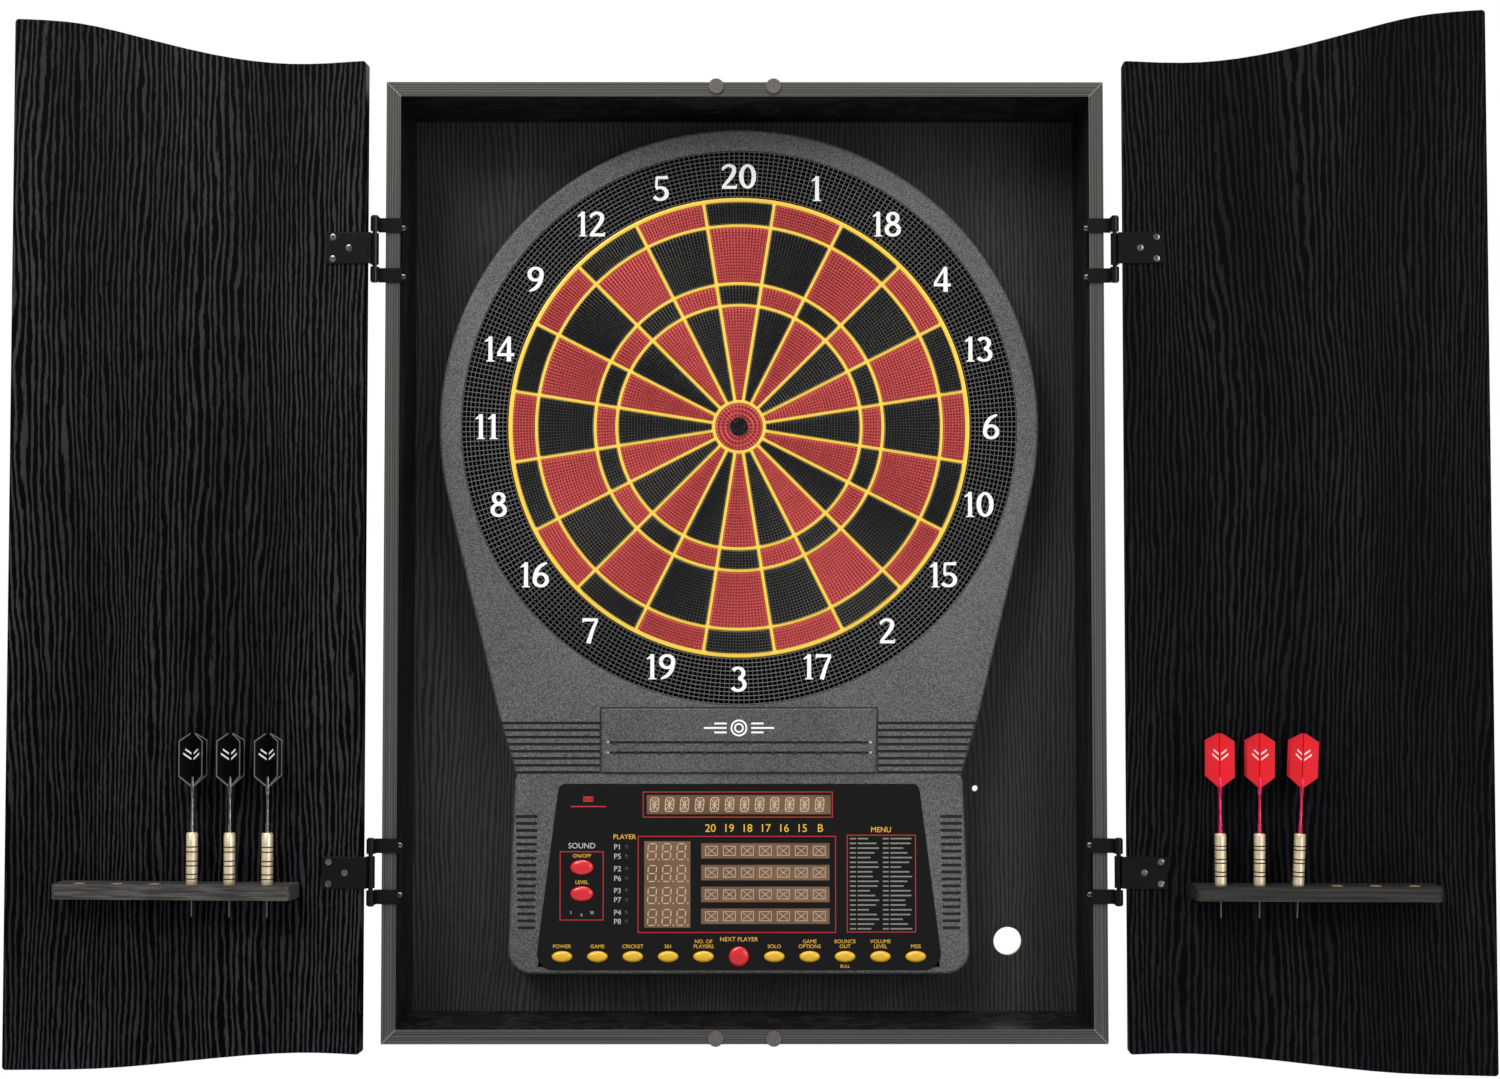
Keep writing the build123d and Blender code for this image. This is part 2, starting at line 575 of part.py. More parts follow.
def segments(name, singles_parity):
    """Segments of one colour: the singles of every other wedge, the doubles and trebles between."""
    with BuildPart() as group:
        for band, (inner, outer) in enumerate(BANDS):
            parity = singles_parity if band in SINGLE_BANDS else 1 - singles_parity
            with BuildSketch(board(SEGMENT_BACK_Y, TARGET_Z)) as ring:
                Circle(outer - HALF_BAR - SEGMENT_CLEAR)
                Circle(inner + HALF_BAR + SEGMENT_CLEAR, mode=Mode.SUBTRACT)
                with PolarLocations(0, WEDGES // 2, start_angle=WEDGE_ANGLE / 2, angular_range=180):
                    Rectangle(3 * RIM_R, DIVIDER_W + 2 * SEGMENT_CLEAR, mode=Mode.SUBTRACT)
                with PolarLocations(0, WEDGES // 2, start_angle=90 + (1 - parity) * WEDGE_ANGLE):
                    Polygon((0, 0), (RIM_R, -WEDGE_TAN * RIM_R), (RIM_R, WEDGE_TAN * RIM_R),
                            align=None, mode=Mode.SUBTRACT)
            extrude(amount=SEGMENT_BACK_Y - SEGMENT_FRONT_Y)
    keep(group, name)


segments("red_segments", 0)
segments("black_segments", 1)

with BuildPart() as outer_bull:
    with BuildSketch(board(SEGMENT_BACK_Y, TARGET_Z)):
        Circle(RING_MIDS[0] - HALF_BAR - SEGMENT_CLEAR)
        Circle(INNER_BULL_R + SEGMENT_CLEAR, mode=Mode.SUBTRACT)
    extrude(amount=SEGMENT_BACK_Y - SEGMENT_FRONT_Y)
keep(outer_bull, "outer_bull")

with BuildPart() as inner_bull:
    with BuildSketch(board(SEGMENT_BACK_Y, TARGET_Z)):
        Circle(INNER_BULL_R)
    extrude(amount=SEGMENT_BACK_Y - SEGMENT_FRONT_Y)
keep(inner_bull, "inner_bull")

# ================================================================ name pad over the ribs
with BuildPart() as nameplate:
    with BuildSketch(board(BOARD_FRONT_Y)) as pad:
        Polygon((-NAMEPLATE_HALF_W[0], NAMEPLATE_Z[0]), (NAMEPLATE_HALF_W[0], NAMEPLATE_Z[0]),
                (NAMEPLATE_HALF_W[1], NAMEPLATE_Z[1]), (-NAMEPLATE_HALF_W[1], NAMEPLATE_Z[1]), align=None)
        fillet(pad.vertices(), 4.0)
    extrude(amount=NAMEPLATE_T)
    fillet(nameplate.faces().sort_by(Axis.Y)[0].edges(), 1.2)
    with BuildSketch(board(BOARD_FRONT_Y - NAMEPLATE_T)):
        with Locations(*[(0, z) for z in TRACKS_Z]):
            SlotOverall(227.0, 2.0)
    extrude(amount=-1.6, mode=Mode.SUBTRACT)
keep(nameplate, "nameplate")

# ================================================================ control panel
OVERLAY_BACK_Y = OVERLAY_FRONT_Y + OVERLAY_T
row_xs = [BUTTON_PITCH * (i - (len(ROW_NAMES) - 1) / 2) for i in range(len(ROW_NAMES))]
BUTTONS = {n: (x, BUTTON_ROW_Z, OVAL) for n, x in zip(ROW_NAMES, row_xs)}
BUTTONS["next_player"] = (0.0, BUTTON_ROW_Z, (ROUND_R, ROUND_R))
BUTTONS |= {n: (x, z, WIDE_OVAL) for n, (x, z) in SOUND_BUTTONS.items()}


def button_outline(radii, grow=0.0, mode=Mode.ADD):
    """Round or oval outline of a push button."""
    if radii[0] == radii[1]:
        Circle(radii[0] + grow, mode=mode)
    else:
        Ellipse(radii[0] + grow, radii[1] + grow, mode=mode)


with BuildPart() as control_overlay:
    with BuildSketch(board(OVERLAY_BACK_Y)) as sheet:
        panel_outline()
        fillet(sheet.vertices().group_by(Axis.Y)[-1], 6.0)
        fillet(sheet.vertices().group_by(Axis.Y)[0], 14.0)
        for x, z, w, h in WINDOWS:
            with Locations((x, z)):
                Rectangle(w + 2 * WINDOW_CLEAR, h + 2 * WINDOW_CLEAR, mode=Mode.SUBTRACT)
        for x, z, radii in BUTTONS.values():
            with Locations((x, z)):
                button_outline(radii, BUTTON_CLEAR, Mode.SUBTRACT)
    extrude(amount=OVERLAY_T)
keep(control_overlay, "control_overlay")

with BuildPart() as display_module:
    with BuildSketch(board(PCB_Y[1])):
        for x, z, w, h in WINDOWS:
            with Locations((x, z)):
                Rectangle(w, h)
    extrude(amount=PCB_Y[1] - DISPLAY_FRONT_Y)
keep(display_module, "display_module")

with BuildPart() as circuit_board:
    with BuildSketch(board(PCB_Y[0])):
        panel_outline(-6.5)
        with Locations(*BOSSES):
            Circle(5.0, mode=Mode.SUBTRACT)
    extrude(amount=PCB_Y[0] - PCB_Y[1])
keep(circuit_board, "circuit_board")

for name, (x, z, radii) in BUTTONS.items():
    with BuildPart() as button:
        with BuildSketch(board(BUTTON_BACK_Y, 0)):
            with Locations((x, z)):
                button_outline(radii)
        extrude(amount=BUTTON_BACK_Y - BUTTON_FRONT_Y)
        fillet(button.faces().sort_by(Axis.Y)[0].edges(), 1.8)
    keep(button, f"{name}_button")

# ================================================================ sound and power
SPEAKER_SPOT = (-120.0, -262.0)
SPEAKER_R, CONE_R, MAGNET_R = 25.0, 22.0, 12.0
RIM_Y, CONE_Y, MAGNET_Y = -31.0, -28.0, -19.0
CONE_TAPER = 30

with BuildPart() as speaker:
    stages = [(RIM_Y, CONE_Y, SPEAKER_R, 0), (CONE_Y, MAGNET_Y, CONE_R, CONE_TAPER),
              (MAGNET_Y, COVER_FRONT_Y, MAGNET_R, 0)]
    for front, back, radius, taper in stages:
        with BuildSketch(board(front)):
            with Locations(SPEAKER_SPOT):
                Circle(radius)
        extrude(amount=front - back, taper=taper)
keep(speaker, "speaker")

JACK_MOUTH = (BOARD_X + BASE_LOW[0] - 0.5, -24.0, -306.0)     # in the right-hand side of the base
JACK_R, JACK_BORE_R, JACK_PIN_R = 4.2, 2.8, 1.0
JACK_LENGTH, JACK_BORE_DEPTH = 10.0, 9.0
HOUSING = 12.0                                                # square block behind the socket
HOUSING_INSET = 3.7

with BuildPart() as power_jack:
    x, y, z = JACK_MOUTH
    with Locations((x - JACK_LENGTH / 2, y, z)):
        Cylinder(JACK_R, JACK_LENGTH, rotation=(0, 90, 0))
    block((x - HOUSING_INSET - HOUSING, y - HOUSING / 2, z - HOUSING / 2),
          (x - HOUSING_INSET, y + HOUSING / 2, z + HOUSING / 2))
    with Locations((x - JACK_BORE_DEPTH / 2, y, z)):
        Cylinder(JACK_BORE_R, JACK_BORE_DEPTH, rotation=(0, 90, 0), mode=Mode.SUBTRACT)
        Cylinder(JACK_PIN_R, JACK_BORE_DEPTH, rotation=(0, 90, 0))
keep(power_jack, "power_jack")
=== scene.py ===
"""The dart board cabinet's looks: joinery, perforated target, control panel, hinges and darts."""

import json
from math import asin, cos, hypot, pi, radians, sin

import bmesh
import bpy
from mathutils import Matrix, Vector

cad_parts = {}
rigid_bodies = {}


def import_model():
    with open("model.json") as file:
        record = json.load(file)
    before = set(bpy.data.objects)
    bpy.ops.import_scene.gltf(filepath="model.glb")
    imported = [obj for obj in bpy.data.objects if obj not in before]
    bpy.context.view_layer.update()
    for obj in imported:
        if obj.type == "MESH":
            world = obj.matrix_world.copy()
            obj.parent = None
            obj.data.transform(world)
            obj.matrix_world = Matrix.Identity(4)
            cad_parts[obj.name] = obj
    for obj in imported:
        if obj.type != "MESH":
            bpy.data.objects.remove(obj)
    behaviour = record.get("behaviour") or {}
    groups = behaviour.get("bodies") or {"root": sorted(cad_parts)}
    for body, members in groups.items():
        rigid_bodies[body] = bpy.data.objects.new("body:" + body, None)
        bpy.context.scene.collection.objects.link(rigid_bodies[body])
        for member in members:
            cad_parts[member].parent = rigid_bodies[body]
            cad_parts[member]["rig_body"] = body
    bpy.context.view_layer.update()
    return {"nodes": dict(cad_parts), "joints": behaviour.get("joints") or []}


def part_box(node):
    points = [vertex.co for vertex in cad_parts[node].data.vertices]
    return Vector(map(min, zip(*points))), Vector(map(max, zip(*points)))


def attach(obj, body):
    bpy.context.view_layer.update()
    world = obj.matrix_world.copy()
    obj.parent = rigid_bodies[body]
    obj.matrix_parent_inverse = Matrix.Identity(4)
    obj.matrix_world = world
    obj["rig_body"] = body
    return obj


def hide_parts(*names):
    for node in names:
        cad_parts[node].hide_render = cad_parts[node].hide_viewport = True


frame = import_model()

MM = 0.001
NODES = frame["nodes"]
SCENE = bpy.context.scene
SIDES = {"left": -1, "right": 1}
DOOR_LEAN = {"left": radians(-4.0), "right": radians(2.0)}      # past straight out from the wall
FACE_OUT = Matrix.Rotation(radians(90), 4, "X")                 # turns what lies level to face the thrower
FACE_OUT_TURN = (radians(90), 0, 0)

# ---------------------------------------------------------------- places, in millimetres
BOARD_X, TARGET_Z = -5.0, 116.0
HALF_W, HALF_H = 300.0, 400.0
WEDGES = 20
HALF_BAR = 1.65                       # half the width of a bar of the target's web
WEB_RINGS = [21.8, 105.0, 123.7, 174.0, 196.3]
WEB_RIM_IN = 194.2                    # where the web's wider outer rim starts
WEB_BACK, WEB_FRONT = -29.8, -44.6
SEGMENT_CLEAR = 0.35
SEGMENT_BACK, SEGMENT_FRONT = -31.2, -43.6
HOLE_DEPTH = 2.8
CATCH_IN, CATCH_OUT = 198.7, 238.8
CATCH_FRONT, CATCH_BACK = -45.2, -39.2
BEZEL_FRONT, BEZEL_GROOVE_FLOOR = -46.0, -44.7
OVERLAY_FRONT, WINDOW_FRONT = -46.8, -46.5
PLATE_FRONT, PLATE_FLOOR = -49.2, -47.6
PRINT_T = 0.12
NUMBER_ORDER = [20, 1, 18, 4, 13, 6, 10, 15, 2, 17, 3, 19, 7, 16, 8, 11, 14, 9, 12, 5]


# ================================================================ node helpers
def feed(tree, socket, value):
    """Links an output to a socket, or sets the socket's own value."""
    if isinstance(value, bpy.types.NodeSocket):
        tree.links.new(value, socket)
    else:
        socket.default_value = value


def put_node(tree, kind, inputs=None, output=0, **settings):
    """Adds one node, sets or links its inputs and hands back one output, or all where output is None."""
    made = tree.nodes.new(kind)
    for name, value in settings.items():
        setattr(made, name, value)
    for name, value in (inputs or {}).items():
        feed(tree, made.inputs[name], value)
    return made.outputs if output is None else made.outputs[output]


class Finish:
    """A node material in the making."""

    def __init__(self, name, roughness=0.5, **shader_values):
        self.material = bpy.data.materials.new(name)
        self.material.use_nodes = True
        self.tree = self.material.node_tree
        self.shader = self.tree.nodes["Principled BSDF"]
        self.set("Roughness", roughness)
        for socket, value in shader_values.items():
            self.set(socket.replace("_", " "), value)

    def set(self, socket, value):
        feed(self.tree, self.shader.inputs[socket], value)

    def node(self, kind, inputs=None, output=0, **settings):
        return put_node(self.tree, kind, inputs, output, **settings)

    def place(self, scale=(1, 1, 1), turn=(0, 0, 0), move=(0, 0, 0)):
        spot = self.node("ShaderNodeTexCoord", output="Object")
        return self.node("ShaderNodeMapping", {"Vector": spot, "Scale": scale, "Rotation": turn,
                                               "Location": move})

    def split(self, coordinate):
        """X, Y and Z of the piece's own place ("Object") or of the way its surface faces ("Normal")."""
        vector = self.node("ShaderNodeTexCoord", output=coordinate)
        return self.node("ShaderNodeSeparateXYZ", {0: vector}, output=None)

    def noise(self, vector, scale, detail=2.0, roughness=0.5):
        return self.node("ShaderNodeTexNoise", {"Vector": vector, "Scale": scale, "Detail": detail,
                                                "Roughness": roughness})

    def math(self, operation, a, b=0.0):
        return self.node("ShaderNodeMath", {0: a, 1: b}, operation=operation)

    def add(self, a, b):
        return self.math("ADD", a, b)

    def minus(self, a, b):
        return self.math("SUBTRACT", a, b)

    def times(self, a, b):
        return self.math("MULTIPLY", a, b)

    def step(self, value, low, high, to_low=0.0, to_high=1.0):
        return self.node("ShaderNodeMapRange", {"Value": value, "From Min": low, "From Max": high,
                                                "To Min": to_low, "To Max": to_high},
                         interpolation_type="SMOOTHSTEP")

    def mix(self, share, first, second):
        first, second = ((*c, 1.0) if isinstance(c, tuple) else c for c in (first, second))
        return self.node("ShaderNodeMix", {0: share, 6: first, 7: second}, output=2, data_type="RGBA")

    def bump(self, height, distance, strength=1.0):
        self.set("Normal", self.node("ShaderNodeBump", {"Height": height, "Distance": distance,
                                                        "Strength": strength}))


# ================================================================ finishes
def grain_share(finish, along="Z", pitch=0.0048, wander=15.0, seed=0.0, low=-0.1, high=0.8):
    """How pale the printed wood grain is at each point: wavering growth rings broken by fine pores."""
    lie = (0, 0, 0) if along == "Z" else (0, radians(90), 0)

    def cloud(scale, detail=2.0, roughness=0.5, move=(0, 0, 0)):
        return finish.noise(finish.place(scale, lie, move), 1.0, detail, roughness)

    slow = finish.times(cloud((7.0, 7.0, 1.5), 1.0, move=(seed, 0, seed)), wander)
    quick = finish.times(cloud((38, 38, 7), 3.0, 0.6, (seed, 0, 0)), 3.4)
    across = finish.node("ShaderNodeSeparateXYZ", {0: finish.place(turn=lie)})
    turns = finish.add(finish.times(across, 1 / pitch), finish.add(slow, quick))
    rings = finish.math("SINE", finish.times(turns, 2 * pi))
    pores = cloud((900, 900, 120), 2.0, 0.7)
    rough = finish.add(rings, finish.times(finish.minus(pores, 0.5), 3.2))
    patches = finish.step(cloud((14, 14, 3)), 0.3, 0.7, 0.45, 1.0)
    return finish.times(finish.step(rough, low, high), patches), pores


def foil(name, dark, pale, **grain):
    """Black paper foil with a printed grain, pressed on fibreboard."""
    finish = Finish(name, 0.55, Specular_IOR_Level=0.03)
    share, pores = grain_share(finish, **grain)
    finish.set("Base Color", finish.mix(share, dark, pale))
    finish.bump(finish.add(share, finish.times(pores, 0.4)), 0.00010, 0.4)
    return finish.material


def case_foil(name, along):
    """The cabinet's frame boards: grained faces, and a greyer ribbed edge band on the mitred front."""
    finish = Finish(name, 0.48, Specular_IOR_Level=0.25)
    share, pores = grain_share(finish, along=along, pitch=0.0036, wander=4.0, seed=3.0)
    faces = finish.mix(share, (0.0035, 0.0032, 0.0036), (0.016, 0.015, 0.015))
    x, _, z = finish.split("Object")
    across, streaks = (x, (640, 1, 2.5)) if along == "Z" else (z, (2.5, 1, 640))
    ribs = finish.times(finish.math("SINE", finish.times(across, 2 * pi / 0.0022)), 0.22)
    shade = finish.step(finish.add(ribs, finish.noise(finish.place(streaks), 1.0, 1.0)), 0.25, 0.75)
    band = finish.mix(shade, (0.036, 0.034, 0.032), (0.088, 0.083, 0.078))
    past_side = finish.minus(finish.math("ABSOLUTE", x), HALF_W * MM)
    past_end = finish.minus(finish.math("ABSOLUTE", z), HALF_H * MM)
    mitre = finish.math("LESS_THAN", finish.math("ABSOLUTE", finish.minus(past_side, past_end)), 0.0004)
    front = finish.math("LESS_THAN", finish.split("Normal")[1], -0.7)
    finish.set("Base Color", finish.mix(front, faces, finish.mix(mitre, band, (0.26, 0.25, 0.235))))
    finish.bump(finish.add(finish.times(shade, front), pores), 0.00015, 0.5)
    return finish.material


def back_foil():
    """The cabinet's back: grained foil inside and bare hardboard against the wall."""
    finish = Finish("back_foil", 0.5, Specular_IOR_Level=0.2)
    share, pores = grain_share(finish, pitch=0.0040, wander=16.0, seed=7.0, low=-0.9, high=0.7)
    inside = finish.mix(share, (0.014, 0.0133, 0.013), (0.050, 0.048, 0.046))
    fibres = finish.noise(finish.place((300, 300, 260)), 1.0, 5.0, 0.7)
    outside = finish.mix(fibres, (0.13, 0.075, 0.038), (0.30, 0.19, 0.11))
    rear = finish.math("GREATER_THAN", finish.split("Normal")[1], -0.7)
    finish.set("Base Color", finish.mix(rear, inside, outside))
    finish.bump(finish.add(share, pores), 0.00012, 0.5)
    return finish.material


def edge_foil(name, dark, pale):
    """Dart shelf foil with fine lines along its length."""
    finish = Finish(name, 0.5, Specular_IOR_Level=0.25)
    lines = finish.noise(finish.place((5, 420, 620)), 1.0, 2.0, 0.6)
    finish.set("Base Color", finish.mix(finish.step(lines, 0.36, 0.66), dark, pale))
    finish.bump(lines, 0.00015, 0.5)
    return finish.material


def textured_plastic(name, dark, pale, groove_floor=None):
    """Spark-textured moulding: pale grit, slightly uneven, with painted shade darkening the floors of its
    grooves.
    """
    finish = Finish(name, 0.5, Specular_IOR_Level=0.4)
    fine = finish.noise(finish.place(), 950.0, 2.0, 0.7)
    broad = finish.noise(finish.place(), 7.0, 2.0)
    share = finish.add(finish.step(fine, 0.36, 0.66), finish.step(broad, 0.3, 0.7, -0.12, 0.12))
    colour = finish.mix(share, dark, pale)
    if groove_floor is not None:
        # painted shade: faces at the groove floor's depth that face the thrower are darkened, as shade in the
        # grooves
        off = finish.math("ABSOLUTE", finish.minus(finish.split("Object")[1], groove_floor * MM))
        groove_shade = finish.times(finish.math("LESS_THAN", off, 0.08 * MM),
                            finish.math("LESS_THAN", finish.split("Normal")[1], -0.9))
        colour = finish.mix(groove_shade, colour, tuple(0.22 * c for c in dark))
    finish.set("Base Color", colour)
    finish.bump(fine, 0.00008, 0.7)
    return finish.material


def smooth_plastic(name, colour, roughness=0.3, mottle=0.12, specular=0.5, coat=0.0):
    """Moulded plastic with a faint flow mottle and hairline variation in its gloss."""
    finish = Finish(name, roughness, Specular_IOR_Level=specular, Coat_Weight=coat, Coat_Roughness=0.08)
    flow = finish.noise(finish.place(), 60.0, 3.0, 0.6)
    darker = tuple(c * (1 - mottle) for c in colour)
    finish.set("Base Color", finish.mix(flow, darker, colour))
    haze = finish.noise(finish.place(), 320.0, 2.0)
    finish.set("Roughness", finish.step(haze, 0.2, 0.8, roughness * 0.85, roughness * 1.15))
    finish.bump(finish.noise(finish.place(), 900.0, 2.0), 0.00002, 0.4)
    return finish.material


def metal(name, dark, pale, roughness, turned=False, share=1.0):
    """Metal with fine machining marks: rings round a turned piece, specks on a plated one."""
    finish = Finish(name, roughness, Metallic=share)
    marks = finish.noise(finish.place((60, 60, 2600) if turned else (500, 500, 500)), 1.0, 3.0, 0.6)
    tone = finish.noise(finish.place(), 160.0, 3.0)
    finish.set("Base Color", finish.mix(finish.step(tone, 0.3, 0.7), dark, pale))
    finish.set("Roughness", finish.step(marks, 0.25, 0.75, roughness * 0.75, roughness * 1.3))
    finish.bump(marks, 0.00003, 0.4)
    return finish.material


def fibre(name, dark, pale, scale):
    """Felt or raw fibreboard."""
    finish = Finish(name, 0.9, Specular_IOR_Level=0.15)
    fuzz = finish.noise(finish.place(), scale, 5.0, 0.75)
    finish.set("Base Color", finish.mix(finish.step(fuzz, 0.3, 0.7), dark, pale))
    finish.bump(fuzz, 0.0002, 0.8)
    return finish.material


def display_window():
    """Tinted amber filter over the display, slightly uneven, with a glossy face."""
    finish = Finish("display_window", 0.22, Specular_IOR_Level=0.4)
    haze = finish.step(finish.noise(finish.place((14, 14, 22)), 1.0, 2.0), 0.3, 0.7)
    finish.set("Base Color", finish.mix(haze, (0.135, 0.072, 0.036), (0.20, 0.115, 0.066)))
    finish.bump(finish.noise(finish.place(), 700.0, 2.0), 0.00002, 0.3)
    return finish.material


def circuit_laminate():
    """Green solder mask with fine copper tracks under it."""
    finish = Finish("circuit_laminate", 0.35)
    tracks = finish.step(finish.noise(finish.place((350, 350, 90)), 1.0, 1.0), 0.5, 0.54)
    finish.set("Base Color", finish.mix(tracks, (0.01, 0.07, 0.025), (0.03, 0.17, 0.06)))
    return finish.material


# painted light and shade: one foil, its grain paler on the left door and darker and flatter on the right
DOOR_FOIL_LIT_AND_SHADED = {
    "left": foil("left_door_foil_lit", (0.0008, 0.0006, 0.0012), (0.036, 0.0325, 0.037)),
    "right": foil("right_door_foil_shaded", (0.0014, 0.0012, 0.0018), (0.0155, 0.0145, 0.0170), seed=11.0),
}
# painted light and shade: one foil, paler on the left shelf and darker on the right
SHELF_FOIL_LIT_AND_SHADED = {
    "left": edge_foil("left_shelf_foil_lit", (0.030, 0.029, 0.028), (0.085, 0.082, 0.078)),
    "right": edge_foil("right_shelf_foil_shaded", (0.013, 0.0125, 0.012), (0.036, 0.035, 0.033)),
}
CASE_UPRIGHT = case_foil("case_foil_upright", "Z")
CASE_CROSS = case_foil("case_foil_cross", "X")
BACK_FOIL = back_foil()
RAW_BOARD = fibre("raw_fibreboard", (0.20, 0.105, 0.042), (0.42, 0.25, 0.12), 2200.0)
FELT = fibre("grey_felt", (0.060, 0.057, 0.055), (0.17, 0.16, 0.155), 1800.0)
BEZEL_PLASTIC = textured_plastic("bezel_plastic", (0.038, 0.036, 0.037), (0.165, 0.158, 0.157),
                                 BEZEL_GROOVE_FLOOR)
PLATE_PLASTIC = textured_plastic("name_pad_plastic", (0.033, 0.031, 0.032), (0.148, 0.142, 0.141),
                                 PLATE_FLOOR)
REAR_PLASTIC = textured_plastic("rear_cover_plastic", (0.010, 0.010, 0.010), (0.028, 0.028, 0.029))
# painted highlight on the catch ring's black plastic, and painted shade for the floor behind its grid
MESH_PLASTIC_SHEEN = smooth_plastic("catch_ring_plastic_sheen", (0.085, 0.081, 0.084), 0.28, specular=0.8)
HOLLOW_SHADE = smooth_plastic("hollow_shade_plastic", (0.0022, 0.0022, 0.0024), 0.7, specular=0.1)
RED_SEGMENT = smooth_plastic("red_segment_plastic", (1.0, 0.16, 0.155), 0.42)
# painted shade: darker copies of the red and black segment plastics for the walls and floors of the segments'
# holes
RED_HOLE_SHADE = smooth_plastic("red_segment_hole_shade", (0.27, 0.010, 0.014), 0.6, specular=0.1)
# painted highlight: the black segments' plastic is lightened to mid grey as painted sheen on their faces
BLACK_SEGMENT_SHEEN = smooth_plastic("black_segment_plastic_sheen", (0.40, 0.385, 0.37), 0.36)
BLACK_HOLE_SHADE = smooth_plastic("black_segment_hole_shade", (0.003, 0.003, 0.003), 0.6, specular=0.1)
YELLOW_WEB = smooth_plastic("yellow_web_plastic", (1.0, 0.67, 0.075), 0.38)
GLOSS_PANEL = smooth_plastic("gloss_panel", (0.0022, 0.0020, 0.0022), 0.07, specular=0.45)
YELLOW_BUTTON = smooth_plastic("yellow_button_plastic", (0.86, 0.50, 0.022), 0.30, coat=0.3)
RED_BUTTON = smooth_plastic("red_button_plastic", (0.70, 0.020, 0.030), 0.28, coat=0.3)
WHITE_INK = smooth_plastic("white_figures", (0.90, 0.90, 0.88), 0.45, 0.03)
YELLOW_INK = smooth_plastic("yellow_print", (0.80, 0.44, 0.03), 0.5, 0.05)
RED_INK = smooth_plastic("red_print", (0.50, 0.014, 0.018), 0.5, 0.05)
GREY_INK = smooth_plastic("grey_print", (0.52, 0.50, 0.47), 0.5, 0.05)
DIM_INK = smooth_plastic("dim_print", (0.24, 0.23, 0.22), 0.5, 0.05)
WINDOW = display_window()
SEGMENT_LIGHT = smooth_plastic("display_segments", (0.56, 0.42, 0.31), 0.4, 0.05)
LAMP_DARK = smooth_plastic("lamp_lens", (0.020, 0.018, 0.018), 0.2)
BLACK_ENAMEL = smooth_plastic("black_enamel", (0.0026, 0.0024, 0.0022), 0.20, specular=0.30)
NICKEL = metal("nickel_plate", (0.20, 0.19, 0.18), (0.42, 0.40, 0.38), 0.16)
ZINC = metal("zinc_plate", (0.38, 0.38, 0.40), (0.60, 0.60, 0.63), 0.35)
BRASS = metal("turned_brass", (0.86, 0.69, 0.42), (0.98, 0.86, 0.62), 0.32, turned=True, share=0.6)
GROOVE_DARK = smooth_plastic("groove_oxide", (0.018, 0.012, 0.006), 0.6)
RED_SHAFT = metal("red_anodised", (0.60, 0.014, 0.085), (0.84, 0.050, 0.170), 0.24, turned=True, share=0.7)
BLACK_SHAFT = metal("black_anodised", (0.16, 0.16, 0.17), (0.36, 0.36, 0.38), 0.24, turned=True)
TIP_PLASTIC = smooth_plastic("tip_plastic", (0.10, 0.10, 0.10), 0.4)
RED_FILM = smooth_plastic("red_film", (0.78, 0.022, 0.036), 0.34, 0.06, coat=0.2)
BLACK_FILM = smooth_plastic("black_film", (0.0022, 0.0022, 0.0024), 0.30, specular=0.12)
PALE_EDGE = smooth_plastic("pale_film_edge", (0.17, 0.17, 0.175), 0.4)
SENSOR_FILM = smooth_plastic("sensor_film", (0.30, 0.25, 0.17), 0.5)
LAMINATE = circuit_laminate()


# ================================================================ mesh helpers
def new_piece(name, mesh, body, material=None):
    """Links a finished mesh as a piece that rides on a CAD body, with its material if one is given."""
    piece = bpy.data.objects.new(name, mesh)
    SCENE.collection.objects.link(piece)
    if material:
        mesh.materials.clear()
        mesh.materials.append(material)
    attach(piece, body)
    return piece


def smooth_over(mesh, angle):
    """Shades a mesh smooth except across edges sharper than an angle in degrees."""
    mesh.shade_smooth()
    mesh.set_sharp_from_angle(angle=radians(angle))
    return mesh


def mesh_of(bm, name, smooth_below=None):
    """Turns a bmesh into a mesh, shaded smooth across edges under an angle in degrees."""
    mesh = bpy.data.meshes.new(name)
    bm.to_mesh(mesh)
    bm.free()
    return smooth_over(mesh, smooth_below) if smooth_below else mesh


def outward(bm):
    """Turns the faces of closed shapes outwards."""
    bmesh.ops.recalc_face_normals(bm, faces=bm.faces)
    return bm


def corners(x0, z0, x1, z1):
    """Outline of a rectangle between two corners."""
    return [(x0, z0), (x1, z0), (x1, z1), (x0, z1)]


def frame_bars(x0, z0, x1, z1, width):
    """Outlines of the four bars of a rectangular frame."""
    x0, x1, z0, z1 = min(x0, x1), max(x0, x1), min(z0, z1), max(z0, z1)
    return [corners(x0, z0, x1, z0 + width), corners(x0, z1 - width, x1, z1),
            corners(x0, z0 + width, x0 + width, z1 - width), corners(x1 - width, z0 + width, x1, z1 - width)]


def prism(bm, outline, front, depth):
    """Closed slab whose outline is given as (x, z), clockwise or not, from its front face backwards."""
    area = sum(a[0] * b[1] - b[0] * a[1] for a, b in zip(outline, outline[1:] + outline[:1]))
    turned = outline if area > 0 else outline[::-1]
    near = [bm.verts.new((x * MM, front * MM, z * MM)) for x, z in turned]
    far = [bm.verts.new((x * MM, (front + depth) * MM, z * MM)) for x, z in turned]
    bm.faces.new(near)
    bm.faces.new(far[::-1])
    for i in range(len(near)):
        j = (i + 1) % len(near)
        bm.faces.new((near[i], far[i], far[j], near[j]))


def printed_bar(bm, x0, z0, x1, z1):
    """Printed block on the control panel, its corners measured from the board's centre line."""
    prism(bm, corners(BOARD_X + x0, z0, BOARD_X + x1, z1), OVERLAY_FRONT - PRINT_T, PRINT_T)


def printed_frame(bm, x0, z0, x1, z1, width, front=OVERLAY_FRONT):
    """Printed rectangular frame, its corners measured from the board's centre line; the name pad's painted
    shadow line is drawn with it too.
    """
    for outline in frame_bars(BOARD_X + x0, z0, BOARD_X + x1, z1, width):
        prism(bm, outline, front - PRINT_T, PRINT_T)


